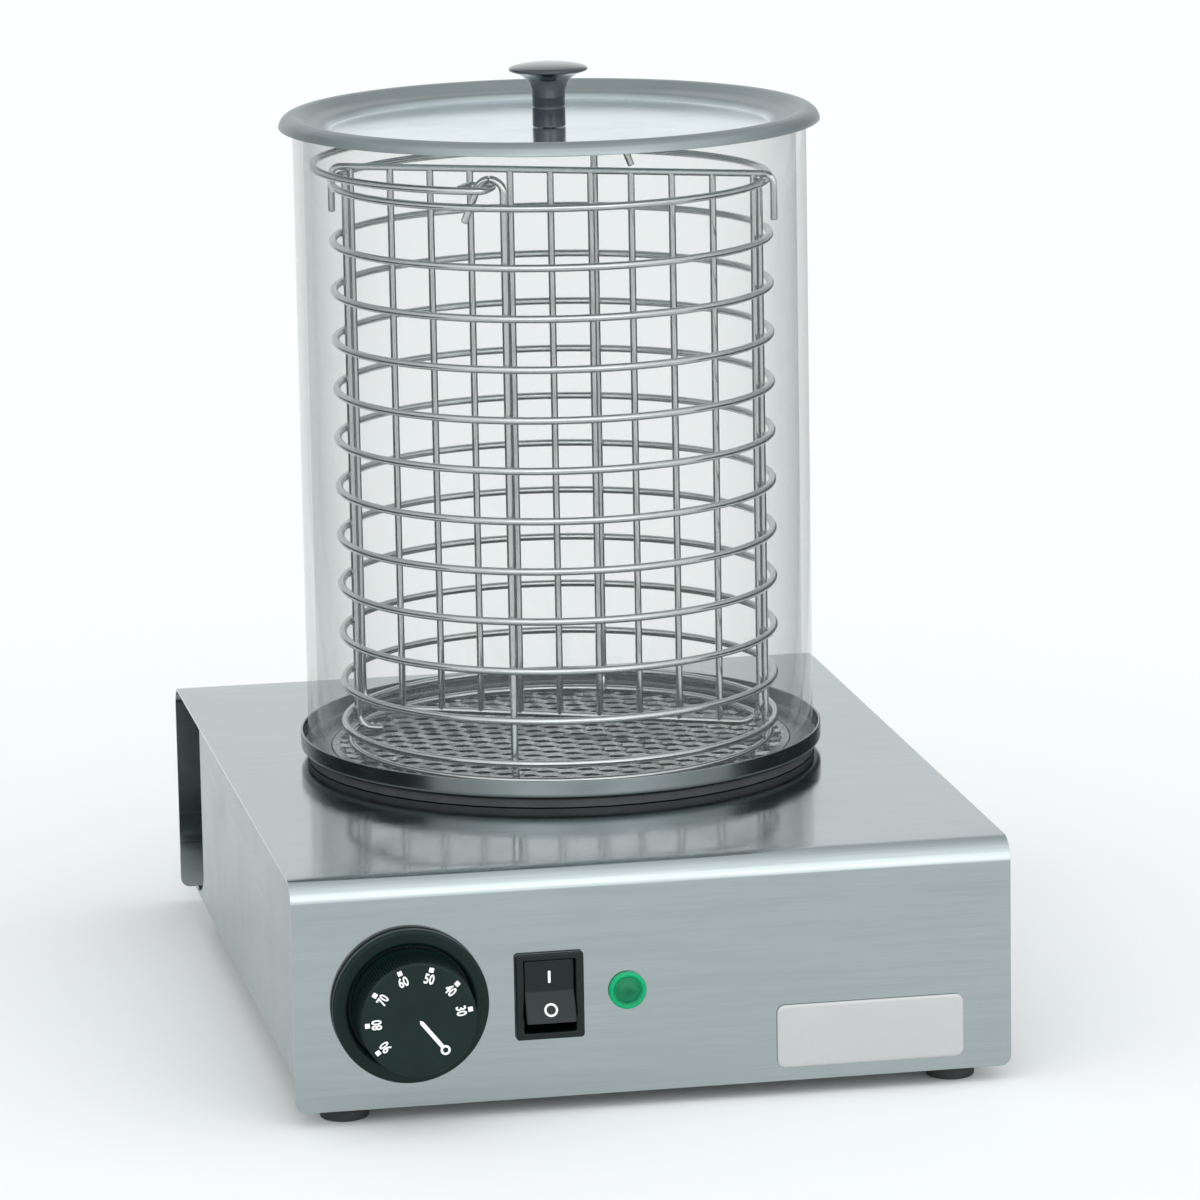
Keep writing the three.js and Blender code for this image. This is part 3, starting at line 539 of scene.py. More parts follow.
def expanded_steel(colour):
    """Slit and stretched sheet: gritty strands with darker, rougher water marks."""
    f = Finish("drip_plate_steel")
    cloud = f.noise(f.spot((22, 22, 8)), 4.0, 0.6)
    grit = f.noise(f.spot((1.1, 0.5, 0.5)), 3.0, 0.6)
    stain = f.spread(cloud, 0.4, 0.66)
    tone = f.blend(stain * 0.6, shade(colour, 0.95), shade(colour, 0.5))
    rough = stain * 0.16 + grit * 0.12 + 0.14
    return f.surface(base_color=tone, metallic=1.0, roughness=rough,
                     normal=f.bump(grit, 0.08, 0.4))


def zinc_sheet(colour):
    """Galvanised sheet with a faint spangle."""
    f = Finish("zinc_sheet")
    cells = f.node("ShaderNodeTexVoronoi", None, {"Vector": f.spot((7, 7, 7)), "Scale": 1.0})
    grain = f.noise(f.spot((2, 2, 2)), 3.0, 0.6)
    spangle = Value(f, cells.outputs["Distance"])
    tone = f.blend(f.spread(spangle, 0.1, 0.8), shade(colour, 1.08), shade(colour, 0.82))
    rough = spangle * 0.14 + grain * 0.08 + 0.36
    return f.surface(base_color=tone, metallic=1.0, roughness=rough,
                     normal=f.bump(grain, 0.05, 0.3))


def moulded_plastic(name, colour, roughness, texture=0.35, depth=0.02, coat=0.0, shine=0.3):
    """Moulded plastic: a fine spark-eroded texture, with paler patches shined by handling."""
    f = Finish(name)
    grain = f.noise(f.spot((texture,) * 3), 2.0, 0.6)
    handled = f.noise(f.spot((14, 14, 14)), 3.0, 0.6)
    worn = f.spread(handled, 0.42, 0.66)
    tone = f.blend(worn * 0.5, colour, shade(colour, 1.35))
    rough = grain * 0.07 - worn * 0.06 + roughness
    return f.surface(base_color=tone, roughness=rough, normal=f.bump(grain, depth, 0.5),
                     coat_weight=coat, coat_roughness=0.06, specular_ior_level=shine)


def printed_white():
    """Tampo-printed white marks, a little uneven in their cover."""
    f = Finish("white_print")
    cover = f.noise(f.spot((0.5, 0.5, 0.5)), 3.0, 0.6)
    tone = f.blend(f.spread(cover, 0.35, 0.75), (0.86, 0.88, 0.86), (0.70, 0.73, 0.71))
    return f.surface(base_color=tone, roughness=cover * 0.2 + 0.4)


def lens_green(colour):
    """Clear green lamp lens: a painted highlight on the rim, and painted shade in the faceted middle.
    """
    f = Finish("lamp_lens_green")
    parts = f.node("ShaderNodeSeparateXYZ", None, {
        0: f.spot((1, 1, 1), (LAMP_X, FRONT, CONTROL_Z))})
    x, z = Value(f, parts.outputs[0]), Value(f, parts.outputs[2])
    r = (x * x + z * z) ** 0.5
    rim = f.spread(r, 4.6, 6.2)
    core = f.spread(r, 0.3, 3.6)
    facets = f.node("ShaderNodeTexVoronoi", {"distance": "CHEBYCHEV"}, {
        "Vector": f.spot((1.3, 1.3, 1.3), (LAMP_X, FRONT, CONTROL_Z), (0, math.pi / 4, 0)),
        "Scale": 1.0, "Randomness": 0.0})
    pattern = Value(f, facets.outputs["Distance"])
    # Painted shade: the middle darkens towards its centre. Painted highlight: the rim's colour is
    # painted brighter.
    middle = f.blend(core, shade(colour, 0.55), shade(colour, 0.85))
    tone = f.blend(rim, middle, shade(colour, 1.6))
    relief = pattern * (1 - rim)
    glow = f.blend(rim, shade(colour, 0.35), shade(colour, 1.1))
    return f.surface(base_color=tone, roughness=rim * 0.08 + 0.1, emission_color=glow,
                     emission_strength=0.2, normal=f.bump(relief, 0.5, 0.45), coat_weight=0.1,
                     coat_roughness=0.04, specular_ior_level=0.2)


def plate_silver(colour):
    """Blank name plate: pearly silver print under a clear skin."""
    f = Finish("name_plate_silver")
    pearl = f.noise(f.spot((0.25, 0.25, 0.25)), 2.0, 0.6)
    cloud = f.noise(f.spot((26, 26, 14)), 2.0, 0.5)
    tone = f.blend(f.spread(pearl, 0.35, 0.65), shade(colour, 0.96), shade(colour, 1.03))
    tone = f.blend(f.spread(cloud, 0.35, 0.7) * 0.4, tone, shade(colour, 0.93))
    return f.surface(base_color=tone, metallic=0.25, roughness=cloud * 0.1 + 0.34,
                     coat_weight=0.3, coat_roughness=0.12, normal=f.bump(pearl, 0.01, 0.2))


def clear_glass():
    """Borosilicate glass: nearly clear face on, grey-green and mirror-like at grazing angles,
    with a breath of water marks near the pan."""
    f = Finish("clear_glass")
    facing = Value(f, f.node("ShaderNodeLayerWeight", None, {"Blend": 0.5}).outputs["Facing"])
    _, z = f.radius((0, WELL, 0))
    marks = f.noise(f.spot((10, 10, 26)), 4.0, 0.6)
    mist = f.spread(z, GLASS_LOW[2] + 46, GLASS_LOW[2]) * f.spread(marks, 0.45, 0.75)
    veil = (facing ** 2.6) * 0.4 + mist * 0.06 + 0.062
    return f.surface(base_color=(0.30, 0.34, 0.33, 1.0), roughness=marks * 0.04 + 0.02,
                     alpha=veil, ior=1.5)


def glazed_ceramic():
    """Pale insulating ceramic and moulding."""
    f = Finish("pale_insulator")
    speck = f.noise(f.spot((1.6, 1.6, 1.6)), 4.0, 0.6)
    tone = f.blend(f.spread(speck, 0.4, 0.7), (0.74, 0.70, 0.62), (0.60, 0.56, 0.48))
    return f.surface(base_color=tone, roughness=speck * 0.25 + 0.4,
                     normal=f.bump(speck, 0.05, 0.3))


def yellow_brass():
    """Turned brass with dull patches."""
    f = Finish("yellow_brass")
    cloud = f.noise(f.spot((6, 6, 6)), 4.0, 0.6)
    tone = f.blend(f.spread(cloud, 0.4, 0.7), (0.62, 0.42, 0.14), (0.38, 0.25, 0.10))
    return f.surface(base_color=tone, metallic=1.0, roughness=cloud * 0.25 + 0.2,
                     normal=f.bump(cloud, 0.03, 0.3))


FINISHES = {}


def finish(name):
    """The material of that name, made the first time it is asked for."""
    if name not in FINISHES:
        tint = bpy.context.scene.steamer_colours
        makers = {
            "cover": lambda: brushed_steel("cover_brushed_steel", tint.steel, (34, 0.5, 0.5)),
            "tray": lambda: brushed_steel("tray_brushed_steel", tint.steel, (0.5, 34, 0.5), 0.32),
            "pan": lambda: pan_steel(tint.pan),
            "lid": lambda: lid_steel(tint.lid),
            "wire": lambda: wire_steel(tint.wire),
            "drip": lambda: expanded_steel(tint.wire),
            "zinc": lambda: zinc_sheet((0.46, 0.48, 0.49)),
            "bolt": lambda: spun_steel("bolt_steel", (0.55, 0.56, 0.56), 0.3),
            "aluminium": lambda: brushed_steel("plate_aluminium", (0.66, 0.67, 0.68), (9, 0.4, 0.4)),
            "name_plate": lambda: plate_silver(tint.name_plate),
            "dial": lambda: moulded_plastic("dial_black", tint.dial, 0.42, shine=0.2),
            "switch": lambda: moulded_plastic("switch_black", shade(tint.dial, 0.55), 0.34),
            "rocker": lambda: moulded_plastic("rocker_black", shade(tint.dial, 0.62), 0.3, 0.5, 0.03),
            "knob": lambda: moulded_plastic("knob_gloss_black", tint.knob, 0.13, 3.0, 0.01, 0.5,
                                            0.5),
            "gland": lambda: moulded_plastic("gland_black", shade(tint.dial, 0.6), 0.5),
            "foot": lambda: moulded_plastic("foot_rubber", (0.035, 0.036, 0.037), 0.75, 0.6, 0.06),
            # The seat ring under the pan's rim carries the rim; its near-black colour stands in for
            # the shadow gap there, painted shadow.
            "silicone": lambda: moulded_plastic("seat_silicone_painted_shadow", (0.05, 0.052, 0.055), 0.6, 0.8, 0.03),
            "print": printed_white,
            "lens": lambda: lens_green(tint.lens),
            "glass": clear_glass,
            "ceramic": glazed_ceramic,
            "brass": yellow_brass,
        }
        FINISHES[name] = makers[name]()
    return FINISHES[name]


SLOT_FINISHES = {
    "housing_steel": "cover", "galvanised_steel": "zinc", "bright_steel": "bolt",
    "plate_aluminium": "aluminium", "brass": "brass", "matt_black_plastic": "gland",
    "gloss_black_plastic": "knob", "pale_insulator": "ceramic", "green_lens": "lens",
    "clear_glass": "glass", "silicone": "silicone", "foot_rubber": "foot",
}


# ---- settings -----------------------------------------------------------------------------

def millimetres(name, description, default):
    return FloatProperty(name=name, description=description, default=default * MM, min=0.0,
                         subtype="DISTANCE", unit="LENGTH", precision=5)


def tint(name, description, default):
    return FloatVectorProperty(name=name, description=description, default=default, size=3,
                               min=0.0, max=1.0, subtype="COLOR")


class SteamerSizes(bpy.types.PropertyGroup):
    """Sizes that change the finish of the pieces, not where they are."""
    cover_bend: millimetres("Cover bend", "Outer radius of the cover's two top bends", 9.0)
    cover_corner: millimetres("Cover corner", "Rounding of the panels' lower corners", 4.0)
    wire: millimetres("Basket wire", "Radius of the basket's and handle's wire", 1.5)
    thin_wire: millimetres("Divider wire", "Radius of the divider's wire", 1.4)
    strand_long: millimetres("Mesh, long way", "Length of an expanded-metal opening", 16.0)
    strand_short: millimetres("Mesh, short way", "Width of an expanded-metal opening", 9.5)
    numeral: millimetres("Numeral height", "Height of the numbers on the dial", 3.9)
    knurls: IntProperty(name="Knurls", description="Ribs round the dial", default=126, min=12)


class SteamerColours(bpy.types.PropertyGroup):
    """Base colours of the finishes."""
    steel: tint("Sheet steel", "Brushed stainless sheet", (0.39, 0.438, 0.448))
    wire: tint("Wires", "Bright steel of wires and drip plate", (0.50, 0.52, 0.515))
    pan: tint("Pan", "Duller steel of the pan", (0.22, 0.24, 0.242))
    lid: tint("Lid", "Spun steel of the lid", (0.74, 0.84, 0.87))
    name_plate: tint("Name plate", "Blank plate", (0.46, 0.465, 0.47))
    dial: tint("Dial", "Matt black plastic", (0.003, 0.013, 0.0115))
    knob: tint("Knob", "Gloss black plastic", (0.006, 0.011, 0.017))
    lens: tint("Lamp lens", "Green lens", (0.0, 0.19, 0.075))
    floor: tint("Floor", "Pale floor", (0.86, 0.87, 0.87))


class SteamerOperator:
    """What the piece operators share: execute makes the piece from the scene's settings."""
    bl_options = {"REGISTER", "UNDO"}

    def execute(self, context):
        self.make(context.scene.steamer_sizes)
        return {"FINISHED"}


# ---- housing ------------------------------------------------------------------------------

class AddCover(SteamerOperator, bpy.types.Operator):
    """One sheet bent into front panel, top and rear panel, open over the pan"""
    bl_idname = "steamer.cover"
    bl_label = "Cover"

    def make(self, sizes):
        bend, corner = sizes.cover_bend / MM, sizes.cover_corner / MM
        half = SWITCH_OPENING[0] / 2
        switch = np.array([SWITCH_X - half, SWITCH_X + half]) / HALF_WIDTH
        across = np.unique(np.concatenate([np.linspace(-1, 1, 49), switch]))
        panel = self.panel(bend, corner, across)
        front = panel + [0, FRONT, 0]
        rear = panel * [1, -1, 1] + [0, REAR, 0]
        surfaces = [self.opened(*open_grid(front)), open_grid(rear),
                    open_grid(self.top(bend, across))]
        cover = new_piece("cover_sheet", "housing", finish("cover"), surfaces,
                          ["top_cover"])
        make_sheet(cover, lambda p: (0, WELL * MM - p[1], 0.045 - p[2]))

    @staticmethod
    def opened(points, faces):
        """The front panel without the faces that lie in the switch's opening."""
        width, height = SWITCH_OPENING
        middles = np.array([points[list(face)].mean(axis=0) for face in faces])
        inside = ((abs(middles[:, 0] - SWITCH_X) < width / 2)
                  & (abs(middles[:, 2] - CONTROL_Z) < height / 2))
        return points, [face for face, gone in zip(faces, inside) if not gone]

    @staticmethod
    def panel(bend, corner, across):
        """Rows up an upright panel and round its bend; y is the depth behind the panel. Near the
        foot, at height t, the half width is W - c + sqrt(c^2 - (c - t)^2), a round corner."""
        t = corner * (1 - np.cos(np.linspace(0, math.pi / 2, 9)))
        low = np.stack([0 * t, COVER_FOOT + t], -1)
        straight = np.unique(np.concatenate([
            np.linspace(COVER_FOOT + corner, COVER_TOP - bend, 14)[1:-1],
            [CONTROL_Z - SWITCH_OPENING[1] / 2, CONTROL_Z + SWITCH_OPENING[1] / 2]]))
        middle = np.stack([0 * straight, straight], -1)
        curve = arc((bend, COVER_TOP - bend), bend, (-1, 0), (0, 1), 0, 90, 19)
        path = np.concatenate([low, middle, curve])
        up = np.clip(path[:, 1] - COVER_FOOT, 0, corner)
        half = HALF_WIDTH - corner + np.sqrt(np.maximum(corner ** 2 - (corner - up) ** 2, 0))
        x = half[:, None] * across
        return np.stack([x, path[:, :1] + 0 * x, path[:, 1:] + 0 * x], -1)

    @staticmethod
    def top(bend, across):
        """Flat top between a rectangle and the round hole: Q + v (H - Q), where H is where the
        line from the hole's middle to Q meets the hole."""
        y0, y1 = FRONT + bend, REAR - bend
        x, y = HALF_WIDTH * across, np.linspace(y0, y1, 61)
        edge = np.concatenate([
            np.stack([x, np.full(len(x), y0)], -1),
            np.stack([np.full(len(y) - 1, HALF_WIDTH), y[1:]], -1),
            np.stack([x[::-1][1:], np.full(len(x) - 1, y1)], -1),
            np.stack([np.full(len(y) - 1, -HALF_WIDTH), y[::-1][1:]], -1)])
        middle = np.array([0, WELL])
        spoke = edge - middle
        hole = middle + PAN_HOLE * spoke / np.linalg.norm(spoke, axis=1, keepdims=True)
        v = np.linspace(0, 1, 12)[:, None, None]
        flat = edge + v * (hole - edge)
        return np.concatenate([flat, np.full((*flat.shape[:2], 1), COVER_TOP)], -1)


class AddTray(SteamerOperator, bpy.types.Operator):
    """One sheet folded into the bottom and the two side panels, with curved toes at the rear"""
    bl_idname = "steamer.tray"
    bl_label = "Chassis tray"

    def make(self, sizes):
        """P(s, v) = (x(s), front(z) + v (rear(z) - front(z)), z(s)): s runs down one side,
        across the bottom and up the other."""
        side, floor, top = TRAY_HIGH[0], TRAY_LOW[2], COVER_TOP - SHEET - 0.3
        toe_length, toe_height, fold = TRAY_HIGH[1] - BAY, 13.0, 1.8
        toe_floor = floor + SHEET
        z = np.unique(np.concatenate([
            np.linspace(floor + fold, toe_floor + toe_height, 15),
            np.linspace(toe_floor + toe_height, top - 8, 8), np.linspace(top - 8, top, 9)]))
        bottom = np.linspace(-side + fold, side - fold, 33)[1:-1]
        left = np.stack([np.full(len(z), -side), z[::-1]], -1)
        corner = arc((-side + fold, floor + fold), fold, (-1, 0), (0, -1), 0, 90, 6)[1:]
        base = np.stack([bottom, np.full(len(bottom), floor)], -1)
        half = np.concatenate([left, corner])
        section = np.concatenate([half, base, half[::-1] * [-1, 1]])
        height = section[:, 1]
        start = FRONT + SHEET + 0.3
        bend = sizes.cover_bend / MM - SHEET - 0.3
        over = np.clip(height - (top - bend), 0, bend)
        front = start + bend - np.sqrt(bend ** 2 - over ** 2)
        low = np.clip((toe_floor + toe_height - height) / toe_height, 0, 1)
        rear = BAY + toe_length * (1 - np.sqrt(1 - low ** 2))
        v = np.linspace(0, 1, 25)[:, None]
        y = front + v * (rear - front)
        points = np.stack([section[:, 0] + 0 * y, y, height + 0 * y], -1)
        tray = new_piece("tray_sheet", "housing", finish("tray"),
                         [open_grid(points)], ["chassis_tray"])
        make_sheet(tray, lambda p: (-p[0], 0, 0.055 - p[2]), 0.25)


class AddFeet(SteamerOperator, bpy.types.Operator):
    """Four round rubber feet, each with a recess for its screw"""
    bl_idname = "steamer.feet"
    bl_label = "Feet"

    def make(self, sizes):
        for corner in ("front_left", "front_right", "rear_left", "rear_right"):
            low, high = node_box(f"foot_{corner}")
            x, y, top = (low[0] + high[0]) / 2, (low[1] + high[1]) / 2, high[2]
            section = round_loop([(2.4, 8.3), (4.6, 8.3), (4.6, 0), (9, 0), (10, top), (2.4, top)],
                                 0.9, 5)
            new_piece(f"rubber_foot_{corner}", "housing", finish("foot"),
                      [revolve(section, upright(x, y), 48, ring=True)], [f"foot_{corner}"])


class AddNamePlate(SteamerOperator, bpy.types.Operator):
    """Blank plate with round corners and a softly domed skin"""
    bl_idname = "steamer.name_plate"
    bl_label = "Blank name plate"

    def make(self, sizes):
        width, height = PLATE_HIGH[0] - PLATE_LOW[0], PLATE_HIGH[2] - PLATE_LOW[2]
        back, face = FRONT - PLATE_HIGH[1], FRONT - PLATE_LOW[1]
        outline = rounded_rectangle(width, height, 3.0)
        profile = [(0.15, back), (0, back + 0.1), (0, face - 0.5), (0.12, face - 0.28),
                   (0.4, face - 0.12), (0.9, face - 0.03), (1.6, face), (6, face)]
        place = forward((PLATE_LOW[0] + PLATE_HIGH[0]) / 2, (PLATE_LOW[2] + PLATE_HIGH[2]) / 2)
        new_piece("blank_plate", "housing", finish("name_plate"),
                  [pillow(outline, profile, place)], ["blank_name_plate"])


class AddGland(SteamerOperator, bpy.types.Operator):
    """Cable gland in the rear bulkhead: a ribbed cap on a flange, with a narrower mouth"""
    bl_idname = "steamer.gland"
    bl_label = "Cable gland"

    def make(self, sizes):
        x, z = (GLAND_LOW[0] + GLAND_HIGH[0]) / 2, (GLAND_LOW[2] + GLAND_HIGH[2]) / 2
        section = round_loop([(4, 15), (4, -13.2), (7.5, -13.2), (7.5, 0.3), (11, 0.3), (11, 5),
                              (9.6, 5.6), (9.6, 12), (7, 15)], 0.5, 3)

        def flutes(h, a):
            on = ramp01(h, 5.6, 6.6) * (1 - ramp01(h, 11, 12.4))
            return 0.45 * on * (0.5 - 0.5 * np.cos(16 * a)) ** 3

        new_piece("gland_cap", "housing", finish("gland"),
                  [revolve(section, backward(x, BAY, z), 192, ring=True, ribs=flutes)],
                  ["cable_gland"])


# ---- controls -----------------------------------------------------------------------------

class AddDial(SteamerOperator, bpy.types.Operator):
    """Thermostat bezel and its knurled dial with numbers and a pointer"""
    bl_idname = "steamer.dial"
    bl_label = "Thermostat dial"

    def make(self, sizes):
        place = forward(DIAL_X, CONTROL_Z)
        section = round_loop([(5.5, 0.3), (28.6, 0.3), (29, 1.2), (29, 3.9), (28.3, 5), (24.2, 5),
                              (23.2, 4), (23.2, 1.6), (5.5, 1.6)], 0.45, 4)
        new_piece("dial_surround", "housing", finish("dial"),
                  [revolve(section, place, 128, ring=True)], ["dial_bezel"])
        self.dial(place, sizes)
        self.marks(place, sizes.numeral / MM)

    @staticmethod
    def dial(place, sizes):
        """Knurls take 0.4 (1 - cos n a) off the radius, and fade at both ends of the flank."""
        face, count = DIAL_PROUD - 0.1, sizes.knurls
        flank = [(22 - 0.6 * t, 5.5 + t * (face - 6.5)) for t in np.linspace(0, 1, 9)]
        corners = [(3.2, 14), (3.2, 2), (22, 2), *flank[:1]]
        rim = [flank[-1], (21.3, face - 0.55), (21.05, face - 0.2), (20.7, face), (20.2, face),
               (10, face), (0, face)]
        section = np.concatenate([[(0, 14)], round_corners(corners, 0.3, 3), flank[1:-1], rim])

        def knurl(h, a):
            on = ramp01(h, 5.6, 6.4) * (1 - ramp01(h, face - 1.2, face - 0.5))
            return 0.4 * on * (1 - np.cos(count * a))

        new_piece("knurled_dial", "thermostat_knob", finish("dial"),
                  [revolve(section, place, 6 * count, ribs=knurl)], ["thermostat_dial"])

    @staticmethod
    def marks(place, numeral):
        """Numbers stand on the face with their tops outwards; each has a square mark outside."""
        face, skin = DIAL_PROUD - 0.1, 0.08
        angles = {30: 8.9, 40: 41.8, 50: 75.2, 60: 110.7, 70: 147.3, 80: 182.8, 90: 216.2}
        surfaces = []
        for number, angle in angles.items():
            out, right = unit(angle), unit(angle - 90)
            points, faces = numeral_mesh(str(number), numeral)
            flat = points[:, :1] * right + (points[:, 1:2] + 15.7) * out
            lifted = np.column_stack([flat, face - skin + 2 * skin * (points[:, 2] > 0)])
            surfaces.append(outward(place(lifted), faces))
            square = rounded_rectangle(1.8, 1.8, 0.2, 3)
            marks = square[:, :1] * right + (square[:, 1:] + 19.1) * out
            surfaces.append(plaque(marks, face, skin, place))
        out, right = unit(308.5), unit(218.5)
        needle = np.array([(0, 0.3), (0.75, 1.5), (0.75, 13.4), (-0.75, 13.4), (-0.75, 1.5)])
        surfaces.append(plaque(needle[:, :1] * right + needle[:, 1:] * out, face, skin, place))
        band = [(1.0, face - skin), (1.85, face - skin), (1.85, face + skin), (1.0, face + skin)]
        shifted = lambda p: place(p + np.append(15.1 * out, 0.0))
        surfaces.append(revolve(band, shifted, 40, ring=True))
        new_piece("dial_marks", "thermostat_knob", finish("print"), surfaces)


def unit(degrees):
    """Unit vector at an angle in a plane."""
    return np.array([math.cos(math.radians(degrees)), math.sin(math.radians(degrees))])


def plaque(outline, height, skin, place):
    """A flat mark: an outline just under a surface and again just above it."""
    rows = [np.column_stack([outline, np.full(len(outline), h)])
            for h in (height - skin, height + skin)]
    poles = [place(row.mean(axis=0)) for row in rows]
    return loft(place(np.array(rows)), *poles)


def numeral_mesh(text, height):
    """Points in mm and faces of upright numbers, narrow and bold, about their middle."""
    curve = bpy.data.curves.new("numerals", "FONT")
    curve.body, curve.align_x, curve.align_y = text, "CENTER", "CENTER"
    curve.size, curve.extrude, curve.offset, curve.resolution_u = 1.0, 0.02, 0.026, 3
    holder = bpy.data.objects.new("numerals", curve)
    bpy.context.scene.collection.objects.link(holder)
    bpy.context.view_layer.update()
    mesh = bpy.data.meshes.new_from_object(holder)
    points = np.empty(len(mesh.vertices) * 3)
    mesh.vertices.foreach_get("co", points)
    points = points.reshape(-1, 3)
    low, high = points.min(axis=0), points.max(axis=0)
    points = points - (low + high) / 2
    scale = height / (high[1] - low[1])
    faces = [list(polygon.vertices) for polygon in mesh.polygons]
    bpy.data.objects.remove(holder)
    bpy.data.curves.remove(curve)
    bpy.data.meshes.remove(mesh)
    return points * [0.74 * scale, scale, scale], faces


class AddSwitch(SteamerOperator, bpy.types.Operator):
    """Rocker switch: a framed housing and a rocker with a line and a ring on it"""
    bl_idname = "steamer.switch"
    bl_label = "Rocker switch"

    def make(self, sizes):
        place = forward(SWITCH_X, CONTROL_Z)
        wall = [(12.8, 0.3), (12.8, 1.7), (12.3, 2.2), (10.2, 2.2), (9.7, 1.8), (9.7, -12),
                (10.6, -12), (10.6, 0.3)]
        self.frame(wall, place)
        self.rocker()

    @staticmethod
    def frame(wall, place):
        """Rounded rectangles in rows round the frame's section, each 7 taller than it is wide."""
        rows = []
        for half, height in round_loop(wall, 0.3, 3):
            corner = max(0.4, 1.3 - (12.8 - half) * 0.3)
            outline = rounded_rectangle(2 * half, 2 * (half + 3.5 + 0.15 * (12.8 - half)), corner)
            rows.append(np.column_stack([outline, np.full(len(outline), height)]))
        new_piece("switch_frame", "housing", finish("switch"),
                  [loft(place(np.array(rows)), ring=True)], ["switch_housing"])

    @staticmethod
    def rocker():
        """A section with a round back and a valley in front, tipped so that its top is in, and
        carried across in rows that shrink a little at both cheeks."""
        pivot, tilt, reach, valley, back = 6.0, math.radians(12), 12.0, 1.0, 8.6
        depth, high = pivot + valley, reach * math.cos(tilt)
        lip = depth + reach * math.sin(tilt)
        start = math.degrees(math.atan2(high, lip))
        bow = arc((0, 0), back, (-1, 0), (0, -1), start + 22, 338 - start, 30)
        t = np.linspace(0, 1, 7)[1:-1, None]
        ends = np.array([(-lip, high), (-depth, 0), (-lip, -high)])
        front = np.concatenate([ends[0] + t * (ends[1] - ends[0]), ends[1:2],
                                ends[1] + t * (ends[2] - ends[1])])
        section = round_loop(np.concatenate([ends[:1], front, ends[2:], bow]), 0.5, 3)
        c, s = math.cos(tilt), math.sin(tilt)
        section = section @ np.array([[c, -s], [s, c]])
        middle = section.mean(axis=0)
        cheeks = [(-9.3, 0.955), (-9.22, 0.975), (-9.0, 0.99), (-8.6, 1), (0, 1), (8.6, 1),
                  (9.0, 0.99), (9.22, 0.975), (9.3, 0.955)]
        rows = []
        for x, scale in cheeks:
            flat = middle + (section - middle) * scale
            rows.append(np.column_stack([np.full(len(flat), SWITCH_X + x), flat]))
        rows = np.array(rows) + [0, FRONT + pivot, CONTROL_Z]
        body = loft(rows, rows[0].mean(axis=0), rows[-1].mean(axis=0))
        new_piece("switch_rocker_cap", "rocker", finish("rocker"), [body],
                  ["switch_rocker"], crease=30)

        fold = np.array([-depth * c, depth * s])        # the valley, from the pivot
        lower = np.array([-math.sin(2 * tilt), -math.cos(2 * tilt)])
        upper = np.array([0.0, 1.0])

        def on_face(direction, outwards):
            """Maps (across, along, lift) onto one half of the rocker's face."""
            def place(p):
                flat = fold + p[..., 1:2] * direction + p[..., 2:3] * outwards
                return np.concatenate([SWITCH_X + p[..., :1], flat], -1) + [
                    0, FRONT + pivot, CONTROL_Z]
            return place

        line = rounded_rectangle(1.0, 4.6, 0.3, 4) + [0, 5.6]
        ring = [(1.75, -0.06), (2.55, -0.06), (2.55, 0.06), (1.75, 0.06)]
        shifted = lambda p: on_face(lower, np.array([-math.cos(2 * tilt), math.sin(2 * tilt)]))(
            p + np.array([0, 6.9, 0]))
        marks = [plaque(line, 0, 0.06, on_face(upper, np.array([-1.0, 0.0]))),
                 revolve(ring, shifted, 40, ring=True)]
        new_piece("switch_marks", "rocker", finish("print"), marks)


class AddLamp(SteamerOperator, bpy.types.Operator):
    """Green pilot lamp lens with a raised rim and a domed middle"""
    bl_idname = "steamer.lamp"
    bl_label = "Pilot lamp lens"

    def make(self, sizes):
        section = round_corners([(0, -2.5), (4.6, -2.5), (4.6, 0.3), (7.1, 0.3), (7.1, 1.3),
                                 (6.4, 1.95), (5.5, 1.9), (4.9, 1.35), (4.3, 1.7), (3.2, 2.6),
                                 (1.6, 3.05), (0, 3.2)], 0.35, 3)
        new_piece("lamp_lens", "housing", finish("lens"),
                  [revolve(section, forward(LAMP_X, CONTROL_Z), 64)], ["pilot_lamp_lens"])


# ---- pan, plate and glass -----------------------------------------------------------------

class AddPan(SteamerOperator, bpy.types.Operator):
    """Water pan: a pressed rim, the shelf for the glass, the ledge for the plate, and the bowl"""
    bl_idname = "steamer.pan"
    bl_label = "Water pan"

    def make(self, sizes):
        section = round_corners([
            (0, 42), (67, 42), (73, 44.4), (76, 50), (76, 95), (92, 95), (92, 96.6), (101.5, 96.6),
            (103, 98.1), (103, 104), (102.7, 104.2), (102.2, 104.2), (102, 103.9), (102, 98.4),
            (101.2, 97.6), (91, 97.6), (91, 96), (75, 96), (75, 50.4), (72.2, 45.3), (66.6, 43),
            (0, 43)], 0.9, 4)
        new_piece("pan_pressing", "pan", finish("pan"),
                  [revolve(section, upright(), 144)], ["water_pan"])


